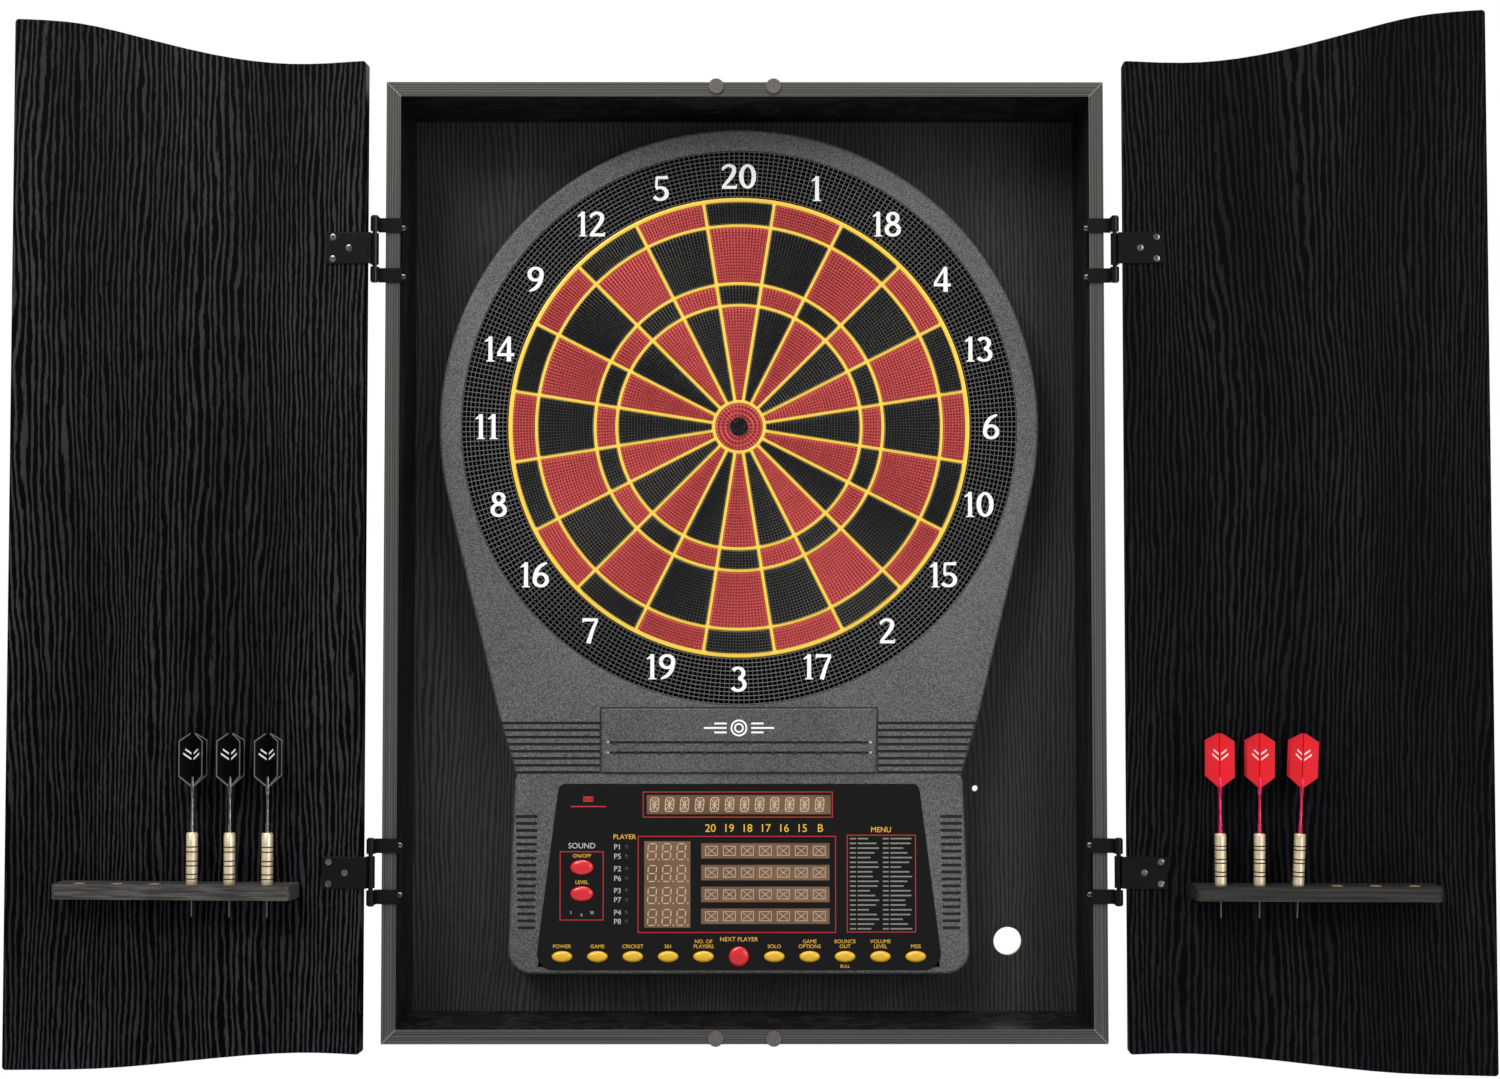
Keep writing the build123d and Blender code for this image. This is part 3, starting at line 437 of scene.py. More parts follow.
def circle(bm, radius, height, sides, ripple=None):
    """Points of a level circle round the Z axis; a ripple adds to the radius by turn and height."""
    made = []
    for i in range(sides):
        turn = 2 * pi * i / sides
        r = radius + (ripple(turn, height) if ripple else 0.0)
        made.append(bm.verts.new((r * cos(turn) * MM, r * sin(turn) * MM, height * MM)))
    return made


def bridge(bm, low, high):
    """Faces between two circles of points, either of which may be a single pole."""
    sides = max(len(low), len(high))
    for i in range(sides):
        j = (i + 1) % sides
        if len(low) == 1:
            bm.faces.new((low[0], high[i], high[j]))
        elif len(high) == 1:
            bm.faces.new((low[i], high[0], low[j]))
        else:
            bm.faces.new((low[i], high[i], high[j], low[j]))


def lathe(bm, profile, sides, ripple=None):
    """Turned solid about the Z axis from (radius, height) pairs; both ends close on the axis."""
    rings = [circle(bm, radius, height, sides, ripple) if radius else circle(bm, 0, height, 1)
             for radius, height in profile]
    for low, high in zip(rings, rings[1:]):
        bridge(bm, low, high)
    return outward(bm)


def tube(profile, sides):
    """Turned ring about the Z axis whose section is a closed loop of (radius, height) pairs."""
    bm = bmesh.new()
    rings = [circle(bm, radius, height, sides) for radius, height in profile]
    for low, high in zip(rings, rings[1:] + rings[:1]):
        bridge(bm, low, high)
    return outward(bm)


def stand_up(bm, y):
    """Stands a level shape up to face the thrower, its middle on the bull's axis."""
    seat = Matrix.Translation((BOARD_X * MM, y * MM, TARGET_Z * MM)) @ FACE_OUT
    bmesh.ops.transform(bm, matrix=seat, verts=bm.verts)
    return bm


def islands(node):
    """The separate solids of a CAD node, as lists of points, in the order of the node's own points."""
    bm = bmesh.new()
    bm.from_mesh(NODES[node].data)
    bmesh.ops.remove_doubles(bm, verts=bm.verts, dist=1e-7)
    seen, found = set(), []
    for first in bm.verts:
        if first in seen:
            continue
        seen.add(first)
        heap, part = [first], []
        while heap:
            vert = heap.pop()
            part.append(vert.co.copy())
            for edge in vert.link_edges:
                other = edge.other_vert(vert)
                if other not in seen:
                    seen.add(other)
                    heap.append(other)
        found.append(part)
    bm.free()
    return found


def far_end(points, direction):
    """Middle of the face of a solid that lies furthest along a direction."""
    reach = max(p.dot(direction) for p in points)
    face = [p for p in points if p.dot(direction) > reach - 0.02 * MM]
    return sum(face, Vector()) / len(face)


def as_mesh(host):
    """The evaluated shape of a helper object as a plain mesh; the helper goes."""
    bpy.context.view_layer.update()
    graph = bpy.context.evaluated_depsgraph_get()
    mesh = bpy.data.meshes.new_from_object(host.evaluated_get(graph), depsgraph=graph)
    host.modifiers.clear()
    bpy.data.objects.remove(host)
    return mesh


def softened(node, width, material):
    """Puts a copy of a sheet CAD node with rounded edges in the node's place."""
    source = NODES[node].data.copy()
    bm = bmesh.new()
    bm.from_mesh(source)
    bmesh.ops.remove_doubles(bm, verts=bm.verts, dist=1e-6)
    bmesh.ops.dissolve_limit(bm, angle_limit=radians(1), verts=bm.verts, edges=bm.edges)
    bm.to_mesh(source)
    bm.free()
    if "custom_normal" in source.attributes:
        source.attributes.remove(source.attributes["custom_normal"])
    host = bpy.data.objects.new(node + "_edges", source)
    SCENE.collection.objects.link(host)
    rounding = host.modifiers.new("rounding", "BEVEL")
    rounding.width, rounding.segments, rounding.limit_method = width * MM, 2, "ANGLE"
    rounding.angle_limit = radians(35)
    rounding.harden_normals = True
    piece = new_piece(node + "_sheet", as_mesh(host), NODES[node]["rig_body"], material)
    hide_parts(node)


# ================================================================ geometry node trees
def new_tree(name, **inputs):
    """Empty node tree with a geometry input and named inputs; hands back the tree and its sockets."""
    tree = bpy.data.node_groups.new(name, "GeometryNodeTree")
    face = tree.interface
    face.new_socket(name="Geometry", in_out="INPUT", socket_type="NodeSocketGeometry")
    for label, kind in inputs.items():
        face.new_socket(name=label.replace("_", " "), in_out="INPUT", socket_type="NodeSocket" + kind)
    face.new_socket(name="Geometry", in_out="OUTPUT", socket_type="NodeSocketGeometry")
    entry = tree.nodes.new("NodeGroupInput")
    return tree, entry.outputs


def close_tree(tree, shape, finish, *extra):
    """Ends a tree in Realize Instances and Set Material; extra holds (selection, material) pairs."""
    real = put_node(tree, "GeometryNodeRealizeInstances", {"Geometry": shape})
    real = put_node(tree, "GeometryNodeSetMaterial", {"Geometry": real, "Material": finish})
    for selection, material in extra:
        real = put_node(tree, "GeometryNodeSetMaterial", {"Geometry": real, "Selection": selection,
                                                          "Material": material})
    leave = tree.nodes.new("NodeGroupOutput")
    tree.links.new(real, leave.inputs[0])


def run_tree(tree, start, **values):
    """Runs a tree on a starting mesh with its named inputs set, and keeps the result as a mesh."""
    host = bpy.data.objects.new("tree_host", start)
    SCENE.collection.objects.link(host)
    growth = host.modifiers.new("growth", "NODES")
    growth.node_group = tree
    keys = {s.name: s.identifier for s in tree.interface.items_tree if s.in_out == "INPUT"}
    for label, value in values.items():
        growth[keys[label.replace("_", " ")]] = value
    return as_mesh(host)


def joined(tree, *shapes):
    """Joins shapes in the order given."""
    both = tree.nodes.new("GeometryNodeJoinGeometry")
    for shape in shapes:
        tree.links.new(shape, both.inputs[0])
    return both.outputs[0]


def perforation_tree():
    """Thickens flat cells into a block whose front has one blind hole in every cell; the holes' walls and
    floors take a second, darker material as painted shade.
    """
    tree, give = new_tree("perforated_block", Thickness="Float", Hole_Share="Float", Hole_Depth="Float",
                          Plastic="Material", Hole="Material")

    def extruded(mesh, **values):
        inputs = {"Mesh": mesh, **{label.replace("_", " "): value for label, value in values.items()}}
        return put_node(tree, "GeometryNodeExtrudeMesh", inputs, output=None)

    block = extruded(give["Geometry"], Individual=False, Offset=(0, -1, 0), Offset_Scale=give["Thickness"])
    rims = extruded(block["Mesh"], Selection=block["Top"], Offset_Scale=0.0)
    shrunk = put_node(tree, "GeometryNodeScaleElements", {"Geometry": rims["Mesh"], "Selection": rims["Top"],
                                                          "Scale": give["Hole Share"]})
    holes = extruded(shrunk, Selection=rims["Top"], Offset=(0, 1, 0), Offset_Scale=give["Hole Depth"])
    rear = put_node(tree, "GeometryNodeFlipFaces", {"Mesh": give["Geometry"]})
    closed = put_node(tree, "GeometryNodeMergeByDistance",
                      {"Geometry": joined(tree, rear, holes["Mesh"]), "Distance": 1e-6})
    # the holes' walls and floors take the darker material: painted shade
    inside = put_node(tree, "FunctionNodeBooleanMath", {0: holes["Top"], 1: holes["Side"]}, operation="OR")
    close_tree(tree, closed, give["Plastic"], (inside, give["Hole"]))
    return tree


def lattice_tree():
    """Rounded bars round a centre: a ring at each start point's X, and evenly turned spokes."""
    tree, give = new_tree("polar_lattice", Spokes="Int", First_Turn="Float", Spoke_Start="Float",
                          Spoke_End="Float", Bar_Width="Float", Bar_Height="Float", Edge_Radius="Float",
                          Ring_Sides="Int", Middle="Vector", Plastic="Material")
    radius = put_node(tree, "ShaderNodeSeparateXYZ", {0: put_node(tree, "GeometryNodeInputPosition")})
    kept = tree.nodes.new("GeometryNodeCaptureAttribute")
    kept.capture_items.new("FLOAT", "radius")
    tree.links.new(give["Geometry"], kept.inputs[0])
    tree.links.new(radius, kept.inputs[1])
    centre = put_node(tree, "ShaderNodeCombineXYZ")
    centred = put_node(tree, "GeometryNodeSetPosition", {"Geometry": kept.outputs[0], "Position": centre})
    hoop = put_node(tree, "GeometryNodeCurvePrimitiveCircle", {"Resolution": give["Ring Sides"],
                                                               "Radius": 1.0})
    rings = put_node(tree, "GeometryNodeInstanceOnPoints", {"Points": centred, "Instance": hoop,
                                                            "Scale": kept.outputs[1]})
    ends = [put_node(tree, "ShaderNodeCombineXYZ", {0: give[label], 2: -0.00005})
            for label in ("Spoke Start", "Spoke End")]      # spokes stand a hair lower than rings
    spoke = put_node(tree, "GeometryNodeCurvePrimitiveLine", {"Start": ends[0], "End": ends[1]})
    hub = put_node(tree, "GeometryNodePoints", {"Count": give["Spokes"], "Radius": 0.001})
    number = put_node(tree, "GeometryNodeInputIndex")
    pitch = put_node(tree, "ShaderNodeMath", {0: 2 * pi, 1: give["Spokes"]}, operation="DIVIDE")
    turn = put_node(tree, "ShaderNodeMath", {0: number, 1: pitch, 2: give["First Turn"]},
                    operation="MULTIPLY_ADD")
    turns = put_node(tree, "ShaderNodeCombineXYZ", {2: turn})
    facing = put_node(tree, "FunctionNodeEulerToRotation", {0: turns})
    spokes = put_node(tree, "GeometryNodeInstanceOnPoints", {"Points": hub, "Instance": spoke,
                                                             "Rotation": facing})
    lines = put_node(tree, "GeometryNodeRealizeInstances", {"Geometry": joined(tree, rings, spokes)})
    upright = put_node(tree, "GeometryNodeSetCurveNormal", {"Curve": lines}, mode="Z_UP")
    section = put_node(tree, "GeometryNodeCurvePrimitiveQuadrilateral",
                       {"Width": give["Bar Width"], "Height": give["Bar Height"]})
    rounded = put_node(tree, "GeometryNodeFilletCurve", {"Curve": section, "Radius": give["Edge Radius"],
                                                         "Count": 2}, mode="POLY")
    bars = put_node(tree, "GeometryNodeCurveToMesh", {"Curve": upright, "Profile Curve": rounded,
                                                      "Fill Caps": True})
    stood = put_node(tree, "GeometryNodeTransform", {"Geometry": bars, "Rotation": FACE_OUT_TURN,
                                                     "Translation": give["Middle"]})
    close_tree(tree, stood, give["Plastic"])
    return tree


def repeat_tree():
    """Puts a copy of one object on every start point, turned by the point's attribute."""
    tree, give = new_tree("repeated_item", Item="Object", Material="Material")
    item = put_node(tree, "GeometryNodeObjectInfo", {"Object": give["Item"]}, output="Geometry")
    turn = put_node(tree, "GeometryNodeInputNamedAttribute", {"Name": "turn"}, data_type="FLOAT_VECTOR")
    facing = put_node(tree, "FunctionNodeEulerToRotation", {0: turn})
    copies = put_node(tree, "GeometryNodeInstanceOnPoints",
                      {"Points": give["Geometry"], "Instance": item, "Rotation": facing})
    close_tree(tree, copies, give["Material"])
    return tree


PERFORATED = perforation_tree()
LATTICE = lattice_tree()
REPEATED = repeat_tree()


def repeat(name, item_mesh, spots, body, material, turns=((0, 0, 0),)):
    """Copies of a small mesh at spots in millimetres; one turn serves them all, or each has its own."""
    item = bpy.data.objects.new(name + "_item", item_mesh)
    SCENE.collection.objects.link(item)
    start = bpy.data.meshes.new(name + "_points")
    start.from_pydata([Vector(spot) * MM for spot in spots], [], [])
    values = [c for turn in turns for c in turn]
    if len(turns) == 1:
        values *= len(spots)
    start.attributes.new("turn", "FLOAT_VECTOR", "POINT").data.foreach_set("vector", values)
    mesh = run_tree(REPEATED, start, Item=item, Material=material)
    bpy.data.objects.remove(item)
    return new_piece(name, mesh, body)


# ================================================================ target
def polar_cells(bm, inner, outer, middle_turn, rows, columns):
    """Flat cells of one wedge of a ring, with sides parallel to the web's bars."""
    grid = []
    for row in range(rows + 1):
        r = inner + (outer - inner) * row / rows
        half = pi / WEDGES - asin((HALF_BAR + SEGMENT_CLEAR) / r)
        turns = [middle_turn + half * (2 * c / columns - 1) for c in range(columns + 1)]
        grid.append([bm.verts.new((r * cos(t) * MM, r * sin(t) * MM, 0)) for t in turns])
    for low, high in zip(grid, grid[1:]):
        for c in range(columns):
            bm.faces.new((low[c], high[c], high[c + 1], low[c + 1]))


def perforated(name, cells, plastic, hole, hole_share, slot):
    """Makes level cells a block of the target with a blind hole in each, the holes' walls and floors in a
    darker material painted as shade.
    """
    mesh = run_tree(PERFORATED, mesh_of(stand_up(cells, SEGMENT_BACK), name),
                    Thickness=(SEGMENT_BACK - SEGMENT_FRONT) * MM, Hole_Share=hole_share,
                    Hole_Depth=HOLE_DEPTH * MM, Plastic=plastic, Hole=hole)
    piece = new_piece(name + "_perforated", mesh, name + "_body")
    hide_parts(name)


# each band between two rings of the web: its strips as (start, end, rows, columns), start and end
# being shares of the band's depth, so that the holes keep their pitch as the wedge widens
SINGLE_INNER = [(0.0, 0.16, 5, 3), (0.16, 0.36, 6, 5), (0.36, 0.64, 9, 7), (0.64, 1.0, 11, 10)]
BANDS = [SINGLE_INNER, [(0.0, 1.0, 6, 12)], [(0.0, 1.0, 18, 17)], [(0.0, 1.0, 7, 22)]]
SINGLES = (0, 2)


def segment_block(name, singles_wedge, *look):
    """All segments of one colour, perforated; the first wedge is the top one."""
    bm = bmesh.new()
    outer_edges = [r - HALF_BAR for r in WEB_RINGS[1:-1]] + [WEB_RIM_IN]
    for band, strips in enumerate(BANDS):
        inner = WEB_RINGS[band] + HALF_BAR + SEGMENT_CLEAR
        depth = outer_edges[band] - SEGMENT_CLEAR - inner
        first = singles_wedge if band in SINGLES else 1 - singles_wedge
        for wedge in range(first, WEDGES, 2):
            turn = pi / 2 - wedge * 2 * pi / WEDGES
            for start, end, rows, columns in strips:
                polar_cells(bm, inner + depth * start, inner + depth * end, turn, rows, columns)
    perforated(name, bm, *look)


def bull(name, rings, *look, hub=None):
    """A round bull of cells in rings given as (inner radius, outer radius, cells), and a hub cell."""
    bm = bmesh.new()
    for inner, outer, cells in rings:
        bridge(bm, circle(bm, inner, 0, cells), circle(bm, outer, 0, cells))
    if hub:
        radius, sides = hub
        bm.faces.new(circle(bm, radius, 0, sides))
    perforated(name, bm, *look)


def ring_starts(radii):
    """Start points whose X is each ring's radius."""
    mesh = bpy.data.meshes.new("ring_starts")
    mesh.from_pydata([(r * MM, 0, 0) for r in radii], [], [])
    return mesh


def target_web():
    """The yellow web that stands between the segments, and its wider outer rim."""
    middle = (BOARD_X * MM, (WEB_BACK + WEB_FRONT) / 2 * MM, TARGET_Z * MM)
    height = (WEB_BACK - WEB_FRONT) * MM
    shape = {"First_Turn": pi / WEDGES, "Spoke_Start": WEB_RINGS[0] * MM, "Spoke_End": WEB_RINGS[-1] * MM,
             "Edge_Radius": 1.15 * MM, "Ring_Sides": 160, "Middle": middle, "Plastic": YELLOW_WEB}
    mesh = run_tree(LATTICE, ring_starts(WEB_RINGS[:-1]), Spokes=WEDGES, Bar_Width=2 * HALF_BAR * MM,
                    Bar_Height=height, **shape)
    web = new_piece("target_web", smooth_over(mesh, 40), "cabinet")
    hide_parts("segment_divider")
    rim_width = 2 * (WEB_RINGS[-1] - WEB_RIM_IN)
    mesh = run_tree(LATTICE, ring_starts(WEB_RINGS[-1:]), Spokes=0, Bar_Width=rim_width * MM,
                    Bar_Height=height - 0.0002, **shape)
    new_piece("target_web_rim", smooth_over(mesh, 40), "cabinet")


def number_ring():
    """Black open grid round the target, its plastic lightened to dark grey as painted sheen, with a plain
    floor behind it painted near black as shade.
    """
    bar_w, rings = 0.7, 12
    low, high = CATCH_IN + bar_w, CATCH_OUT - bar_w
    radii = [low + (high - low) * i / (rings - 1) for i in range(rings)]
    mesh = run_tree(LATTICE, ring_starts(radii), Spokes=340, First_Turn=0.0, Spoke_Start=low * MM,
                    Spoke_End=high * MM, Bar_Width=bar_w * MM, Bar_Height=(CATCH_BACK - CATCH_FRONT) * MM,
                    Edge_Radius=0.34 * MM, Ring_Sides=180,
                    Middle=(BOARD_X * MM, (CATCH_BACK + CATCH_FRONT) / 2 * MM, TARGET_Z * MM),
                    Plastic=MESH_PLASTIC_SHEEN)
    grid = new_piece("number_ring_grid", smooth_over(mesh, 50), "cabinet")
    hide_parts("catch_ring")
    # painted shade: the floor at the bottom of the grid's cells is near black
    floor = tube([(CATCH_IN, 0.0), (CATCH_OUT, 0.0), (CATCH_OUT, -0.8), (CATCH_IN, -0.8)], 160)
    new_piece("number_ring_floor", mesh_of(stand_up(floor, CATCH_BACK), "floor"), "cabinet",
              HOLLOW_SHADE)


# ---------------------------------------------------------------- the raised numbers
def bowl(cx, cz, rx, rz, start, end, thin=0.105, thick=0.165, steps=18):
    """Curved stroke of a numeral: thick at its sides and thin at top and bottom."""
    turns = [radians(start + (end - start) * i / steps) for i in range(steps + 1)]
    return [(cx + rx * cos(t), cz + rz * sin(t), thin + (thick - thin) * abs(cos(t)) ** 1.3) for t in turns]


# strokes hold (x, z, width) and numerals hold (advance, strokes), all as shares of the height
SIX = [[(0.52, 0.975, 0.05), (0.44, 0.94, 0.10), (0.27, 0.83, 0.14), (0.14, 0.62, 0.155),
        (0.085, 0.36, 0.16)],
       bowl(0.30, 0.295, 0.22, 0.245, 0, 360)]
NUMERALS = {
    "0": (0.64, [bowl(0.31, 0.5, 0.225, 0.445, 0, 360, thick=0.18)]),
    "1": (0.42, [[(0.03, 0.80, 0.03), (0.13, 0.87, 0.09), (0.22, 0.965, 0.07)],
                 [(0.225, 1.0, 0.15), (0.225, 0.5, 0.155), (0.225, 0.0, 0.17)],
                 [(0.08, 0.018, 0.035), (0.225, 0.03, 0.06), (0.37, 0.018, 0.035)]]),
    "2": (0.60, [[(0.05, 0.745, 0.06), (0.09, 0.85, 0.12), (0.26, 0.945, 0.115), (0.43, 0.86, 0.155),
                  (0.45, 0.69, 0.17), (0.35, 0.47, 0.15), (0.20, 0.26, 0.125), (0.07, 0.09, 0.10)],
                 [(0.03, 0.065, 0.13), (0.30, 0.06, 0.12), (0.54, 0.06, 0.12)],
                 [(0.53, 0.03, 0.05), (0.545, 0.17, 0.05)]]),
    "3": (0.57, [bowl(0.25, 0.74, 0.19, 0.205, 152, -88), bowl(0.255, 0.28, 0.23, 0.23, 88, -152)]),
    "4": (0.65, [[(0.43, 0.99, 0.10), (0.24, 0.66, 0.10), (0.055, 0.33, 0.11)],
                 [(0.02, 0.275, 0.11), (0.32, 0.275, 0.115), (0.62, 0.275, 0.12)],
                 [(0.435, 1.0, 0.14), (0.435, 0.5, 0.155), (0.435, 0.0, 0.18)]]),
    "5": (0.57, [[(0.12, 0.94, 0.12), (0.32, 0.94, 0.11), (0.51, 0.955, 0.15)],
                 [(0.125, 0.98, 0.10), (0.11, 0.75, 0.10), (0.10, 0.54, 0.09)],
                 bowl(0.235, 0.30, 0.24, 0.245, 128, -150)]),
    "6": (0.60, SIX),
    "7": (0.57, [[(0.02, 0.935, 0.14), (0.28, 0.935, 0.12), (0.55, 0.935, 0.12)],
                 [(0.52, 0.92, 0.11), (0.36, 0.50, 0.14), (0.22, 0.0, 0.18)],
                 [(0.035, 0.97, 0.05), (0.02, 0.82, 0.04)]]),
    "8": (0.60, [bowl(0.295, 0.745, 0.17, 0.195, 0, 360), bowl(0.295, 0.275, 0.22, 0.225, 0, 360)]),
    "9": (0.60, [[(0.60 - x, 1.0 - z, w) for x, z, w in stroke] for stroke in SIX]),
}


def eased(points, steps=5):
    """Catmull-Rom curve through a stroke's points, widths included."""
    if len(points) < 3:
        return points
    ends = [points[0]] + points + [points[-1]]
    made = []
    for p0, p1, p2, p3 in zip(ends, ends[1:], ends[2:], ends[3:]):
        for i in range(steps):
            t = i / steps
            made.append(tuple(0.5 * (2 * b + (c - a) * t + (2 * a - 5 * b + 4 * c - d) * t * t
                                     + (3 * b - a - 3 * c + d) * t ** 3)
                              for a, b, c, d in zip(p0, p1, p2, p3)))
    return made + [points[-1]]


def stroke_slab(bm, points, front, depth):
    """Closed ribbon of varying width along a stroke; points are (x, z, width) in millimetres."""
    left, right = [], []
    for i, (x, z, w) in enumerate(points):
        ax, az, _ = points[max(i - 1, 0)]
        bx, bz, _ = points[min(i + 1, len(points) - 1)]
        length = hypot(bx - ax, bz - az) or 1.0
        nx, nz = -(bz - az) / length * w / 2, (bx - ax) / length * w / 2
        left.append((x + nx, z + nz))
        right.append((x - nx, z - nz))
    edges = [[bm.verts.new((x * MM, y * MM, z * MM)) for x, z in side]
             for side, y in ((left, front), (right, front), (right, front + depth), (left, front + depth))]
    for a, b in zip(edges, edges[1:] + edges[:1]):
        for i in range(len(points) - 1):
            bm.faces.new((a[i], b[i], b[i + 1], a[i + 1]))
    bm.faces.new([edge[0] for edge in edges[::-1]])
    bm.faces.new([edge[-1] for edge in edges])


WIDE = 1.13                           # how much wider than drawn the numerals are set
NUMBERS_R, NUMBER_H = 216.5, 21.5
NUMBER_FRONT, NUMBER_T = CATCH_FRONT - 0.7, 1.2


def write_number(bm, text, x, z, gap=0.03):
    """Numerals centred on a point; each stroke stands a hair behind the one before."""
    total = sum(NUMERALS[c][0] * WIDE for c in text) + gap * (len(text) - 1)
    pen = x - total * NUMBER_H / 2
    for character in text:
        advance, strokes = NUMERALS[character]
        for layer, stroke in enumerate(strokes):
            path = stroke if len(stroke) > 12 else eased(stroke)
            stroke_slab(bm, [(pen + px * WIDE * NUMBER_H, z + (pz - 0.5) * NUMBER_H, pw * NUMBER_H)
                             for px, pz, pw in path], NUMBER_FRONT + 0.03 * layer, NUMBER_T)
        pen += (advance * WIDE + gap) * NUMBER_H


def target_numbers():
    """The twenty numbers, upright, standing on the ring's grid."""
    bm = bmesh.new()
    for place, number in enumerate(NUMBER_ORDER):
        turn = pi / 2 - place * 2 * pi / WEDGES
        write_number(bm, str(number), BOARD_X + NUMBERS_R * cos(turn), TARGET_Z + NUMBERS_R * sin(turn))
    new_piece("target_numbers", mesh_of(outward(bm), "numbers"), "cabinet", WHITE_INK)


# ================================================================ control panel
BUTTON_PITCH = 30.1
SOUND_X, MENU_X, PLAYER_X, LAMP_X = -133.8, 121.1, -103.4, -95.8
PLAYER_ROWS = (-243.4, -251.4, -261.9, -270.1, -280.5, -288.3, -299.0, -306.6)
MARKS_X = 22.5
FRAMES = [(-82, -196.2, 80, -218.3), (-86.2, -233.9, 82.7, -316.1),
          (-152.6, -246.9, -115.2, -305.5), (91.9, -232.9, 150.8, -315.7)]


def words(name, lines, material):
    """Printed words; lines holds (text, x, z of the middle, capital height) in millimetres."""
    parts = bmesh.new()
    for text, x, z, height in lines:
        curve = bpy.data.curves.new(name, "FONT")
        curve.body, curve.align_x, curve.align_y = text, "CENTER", "CENTER"
        curve.size, curve.extrude, curve.offset = height * MM / 0.69, PRINT_T / 2 * MM, 0.006 * height * MM
        curve.resolution_u = 3
        label = bpy.data.objects.new(name, curve)
        SCENE.collection.objects.link(label)
        mesh = as_mesh(label)
        mesh.transform(Matrix.Translation(((BOARD_X + x) * MM, (OVERLAY_FRONT - PRINT_T / 2) * MM, z * MM))
                       @ FACE_OUT)
        parts.from_mesh(mesh)
    new_piece(name, mesh_of(parts, name), "cabinet", material)


def red_frames():
    """Frames round the displays, the sound buttons and the menu, and a plain block with a line."""
    bm = bmesh.new()
    for frame_corners in FRAMES:
        printed_frame(bm, *frame_corners, 0.75)
    printed_bar(bm, -143.5, -208.4, -113.5, -209.4)
    for i in range(3):
        reach = 4.2 - 1.2 * i
        printed_frame(bm, -128.5 - reach, -202.6 - reach * 0.55, -128.5 + reach, -202.6 + reach * 0.55, 0.7)
    new_piece("panel_red_frames", mesh_of(bm, "red_frames"), "cabinet", RED_INK)


def menu_lines():
    """Two columns of short bars in place of the menu's fine print."""
    bm = bmesh.new()
    for column, left in enumerate((94.6, 122.6)):
        for row in range(20):
            low, high = -236.8 - row * 4.02, -235.6 - row * 4.02
            length = 9.0 + 9.5 * abs(sin(2.3 * row + 1.9 * column))
            printed_bar(bm, left, low, left + 5.0, high)
            printed_bar(bm, left + 6.4, low, left + 6.4 + length, high)
    new_piece("menu_lines", mesh_of(bm, "menu_lines"), "cabinet", DIM_INK)


LEAN = 0.07                           # how far the display's figures lean over, as a share of height
STROKE_T = 0.1


def score_digit():
    """Seven bars with pointed ends, and a point after them."""
    bm = bmesh.new()
    w, h, half_t = 7.0, 13.4, 0.5
    level = [(0, k * h / 2, w, False) for k in (1, 0, -1)]
    upright = [(s * w / 2, k * h / 4, h / 2, True) for k in (1, -1) for s in (-1, 1)]
    for x, z, length, stands in level + upright:
        half = length / 2 - 0.75
        shape = [(-half, 0), (-half + half_t, half_t), (half - half_t, half_t), (half, 0),
                 (half - half_t, -half_t), (-half + half_t, -half_t)]
        placed = [(x + v, z + u) if stands else (x + u, z + v) for u, v in shape]
        prism(bm, [(a + b * LEAN, b) for a, b in placed], 0, STROKE_T)
    prism(bm, corners(w / 2 + 1.6, -h / 2 - 0.6, w / 2 + 2.8, -h / 2 + 0.6), 0, STROKE_T)
    return mesh_of(bm, "score_digit")


def word_character():
    """A display letter's level, upright and sloping bars, each a hair behind the last."""
    bm = bmesh.new()
    half_w, half_h, half_t = 3.5, 5.8, 0.425
    bars = [((-1, 1), (1, 1)), ((-1, -1), (1, -1)), ((-1, 0), (1, 0)), ((-1, -1), (-1, 1)), ((1, -1), (1, 1)),
            ((0, -1), (0, 1)), ((-1, 1), (0, 0)), ((1, 1), (0, 0)), ((-1, -1), (0, 0)), ((1, -1), (0, 0))]
    for layer, ends in enumerate(bars):
        start, end = (Vector((u * half_w, v * half_h)) for u, v in ends)
        along = end - start
        start, end = start + along * 0.1, end - along * 0.1
        side = along.orthogonal().normalized() * half_t
        shape = [start + side, end + side, end - side, start - side]
        prism(bm, [(p.x + p.y * LEAN, p.y) for p in shape], 0.008 * layer, STROKE_T)
    return mesh_of(bm, "word_character")


def cross_mark():
    """A box with a cross in it."""
    bm = bmesh.new()
    half_w, half_h = 5.4, 4.2
    for outline in frame_bars(-half_w, -half_h, half_w, half_h, 0.6):
        prism(bm, outline, 0, STROKE_T)
    a, b = half_w - 1.6, half_h - 1.2
    for s in (-1, 1):
        prism(bm, [(-a, -s * b - 0.35), (-a, -s * b + 0.35), (a, s * b + 0.35), (a, s * b - 0.35)],
              0.02 + 0.01 * s, STROKE_T)
    return mesh_of(bm, "cross_mark")


def window_prints():
    """Unlit figures behind the display windows."""
    for name, item, x, z, columns, across, rows, down in (
            ("score_digits", score_digit(), -61.6, -247.2, 3, 12.4, 4, 18.6),
            ("word_display_characters", word_character(), -1.6, -207.3, 12, 12.8, 1, 0),
            ("cricket_marks", cross_mark(), MARKS_X, -246.5, 7, 15.3, 4, 18.5)):
        spots = [(BOARD_X + x + across * (i - (columns - 1) / 2), WINDOW_FRONT - STROKE_T, z - down * row)
                 for row in range(rows) for i in range(columns)]
        repeat(name, item, spots, "cabinet", SEGMENT_LIGHT)


ROW_NAMES = ["power", "game", "cricket", "double_in", "players", "next_player", "solo_play", "options",
             "bounce_out", "volume", "miss"]
ONE_LINE = {0: "POWER", 1: "GAME", 2: "CRICKET", 3: "301", 6: "SOLO", 10: "MISS"}
TWO_LINES = {4: ("NO. OF", "PLAYERS"), 7: ("GAME", "OPTIONS"), 8: ("BOUNCE", "OUT"), 9: ("VOLUME", "LEVEL")}


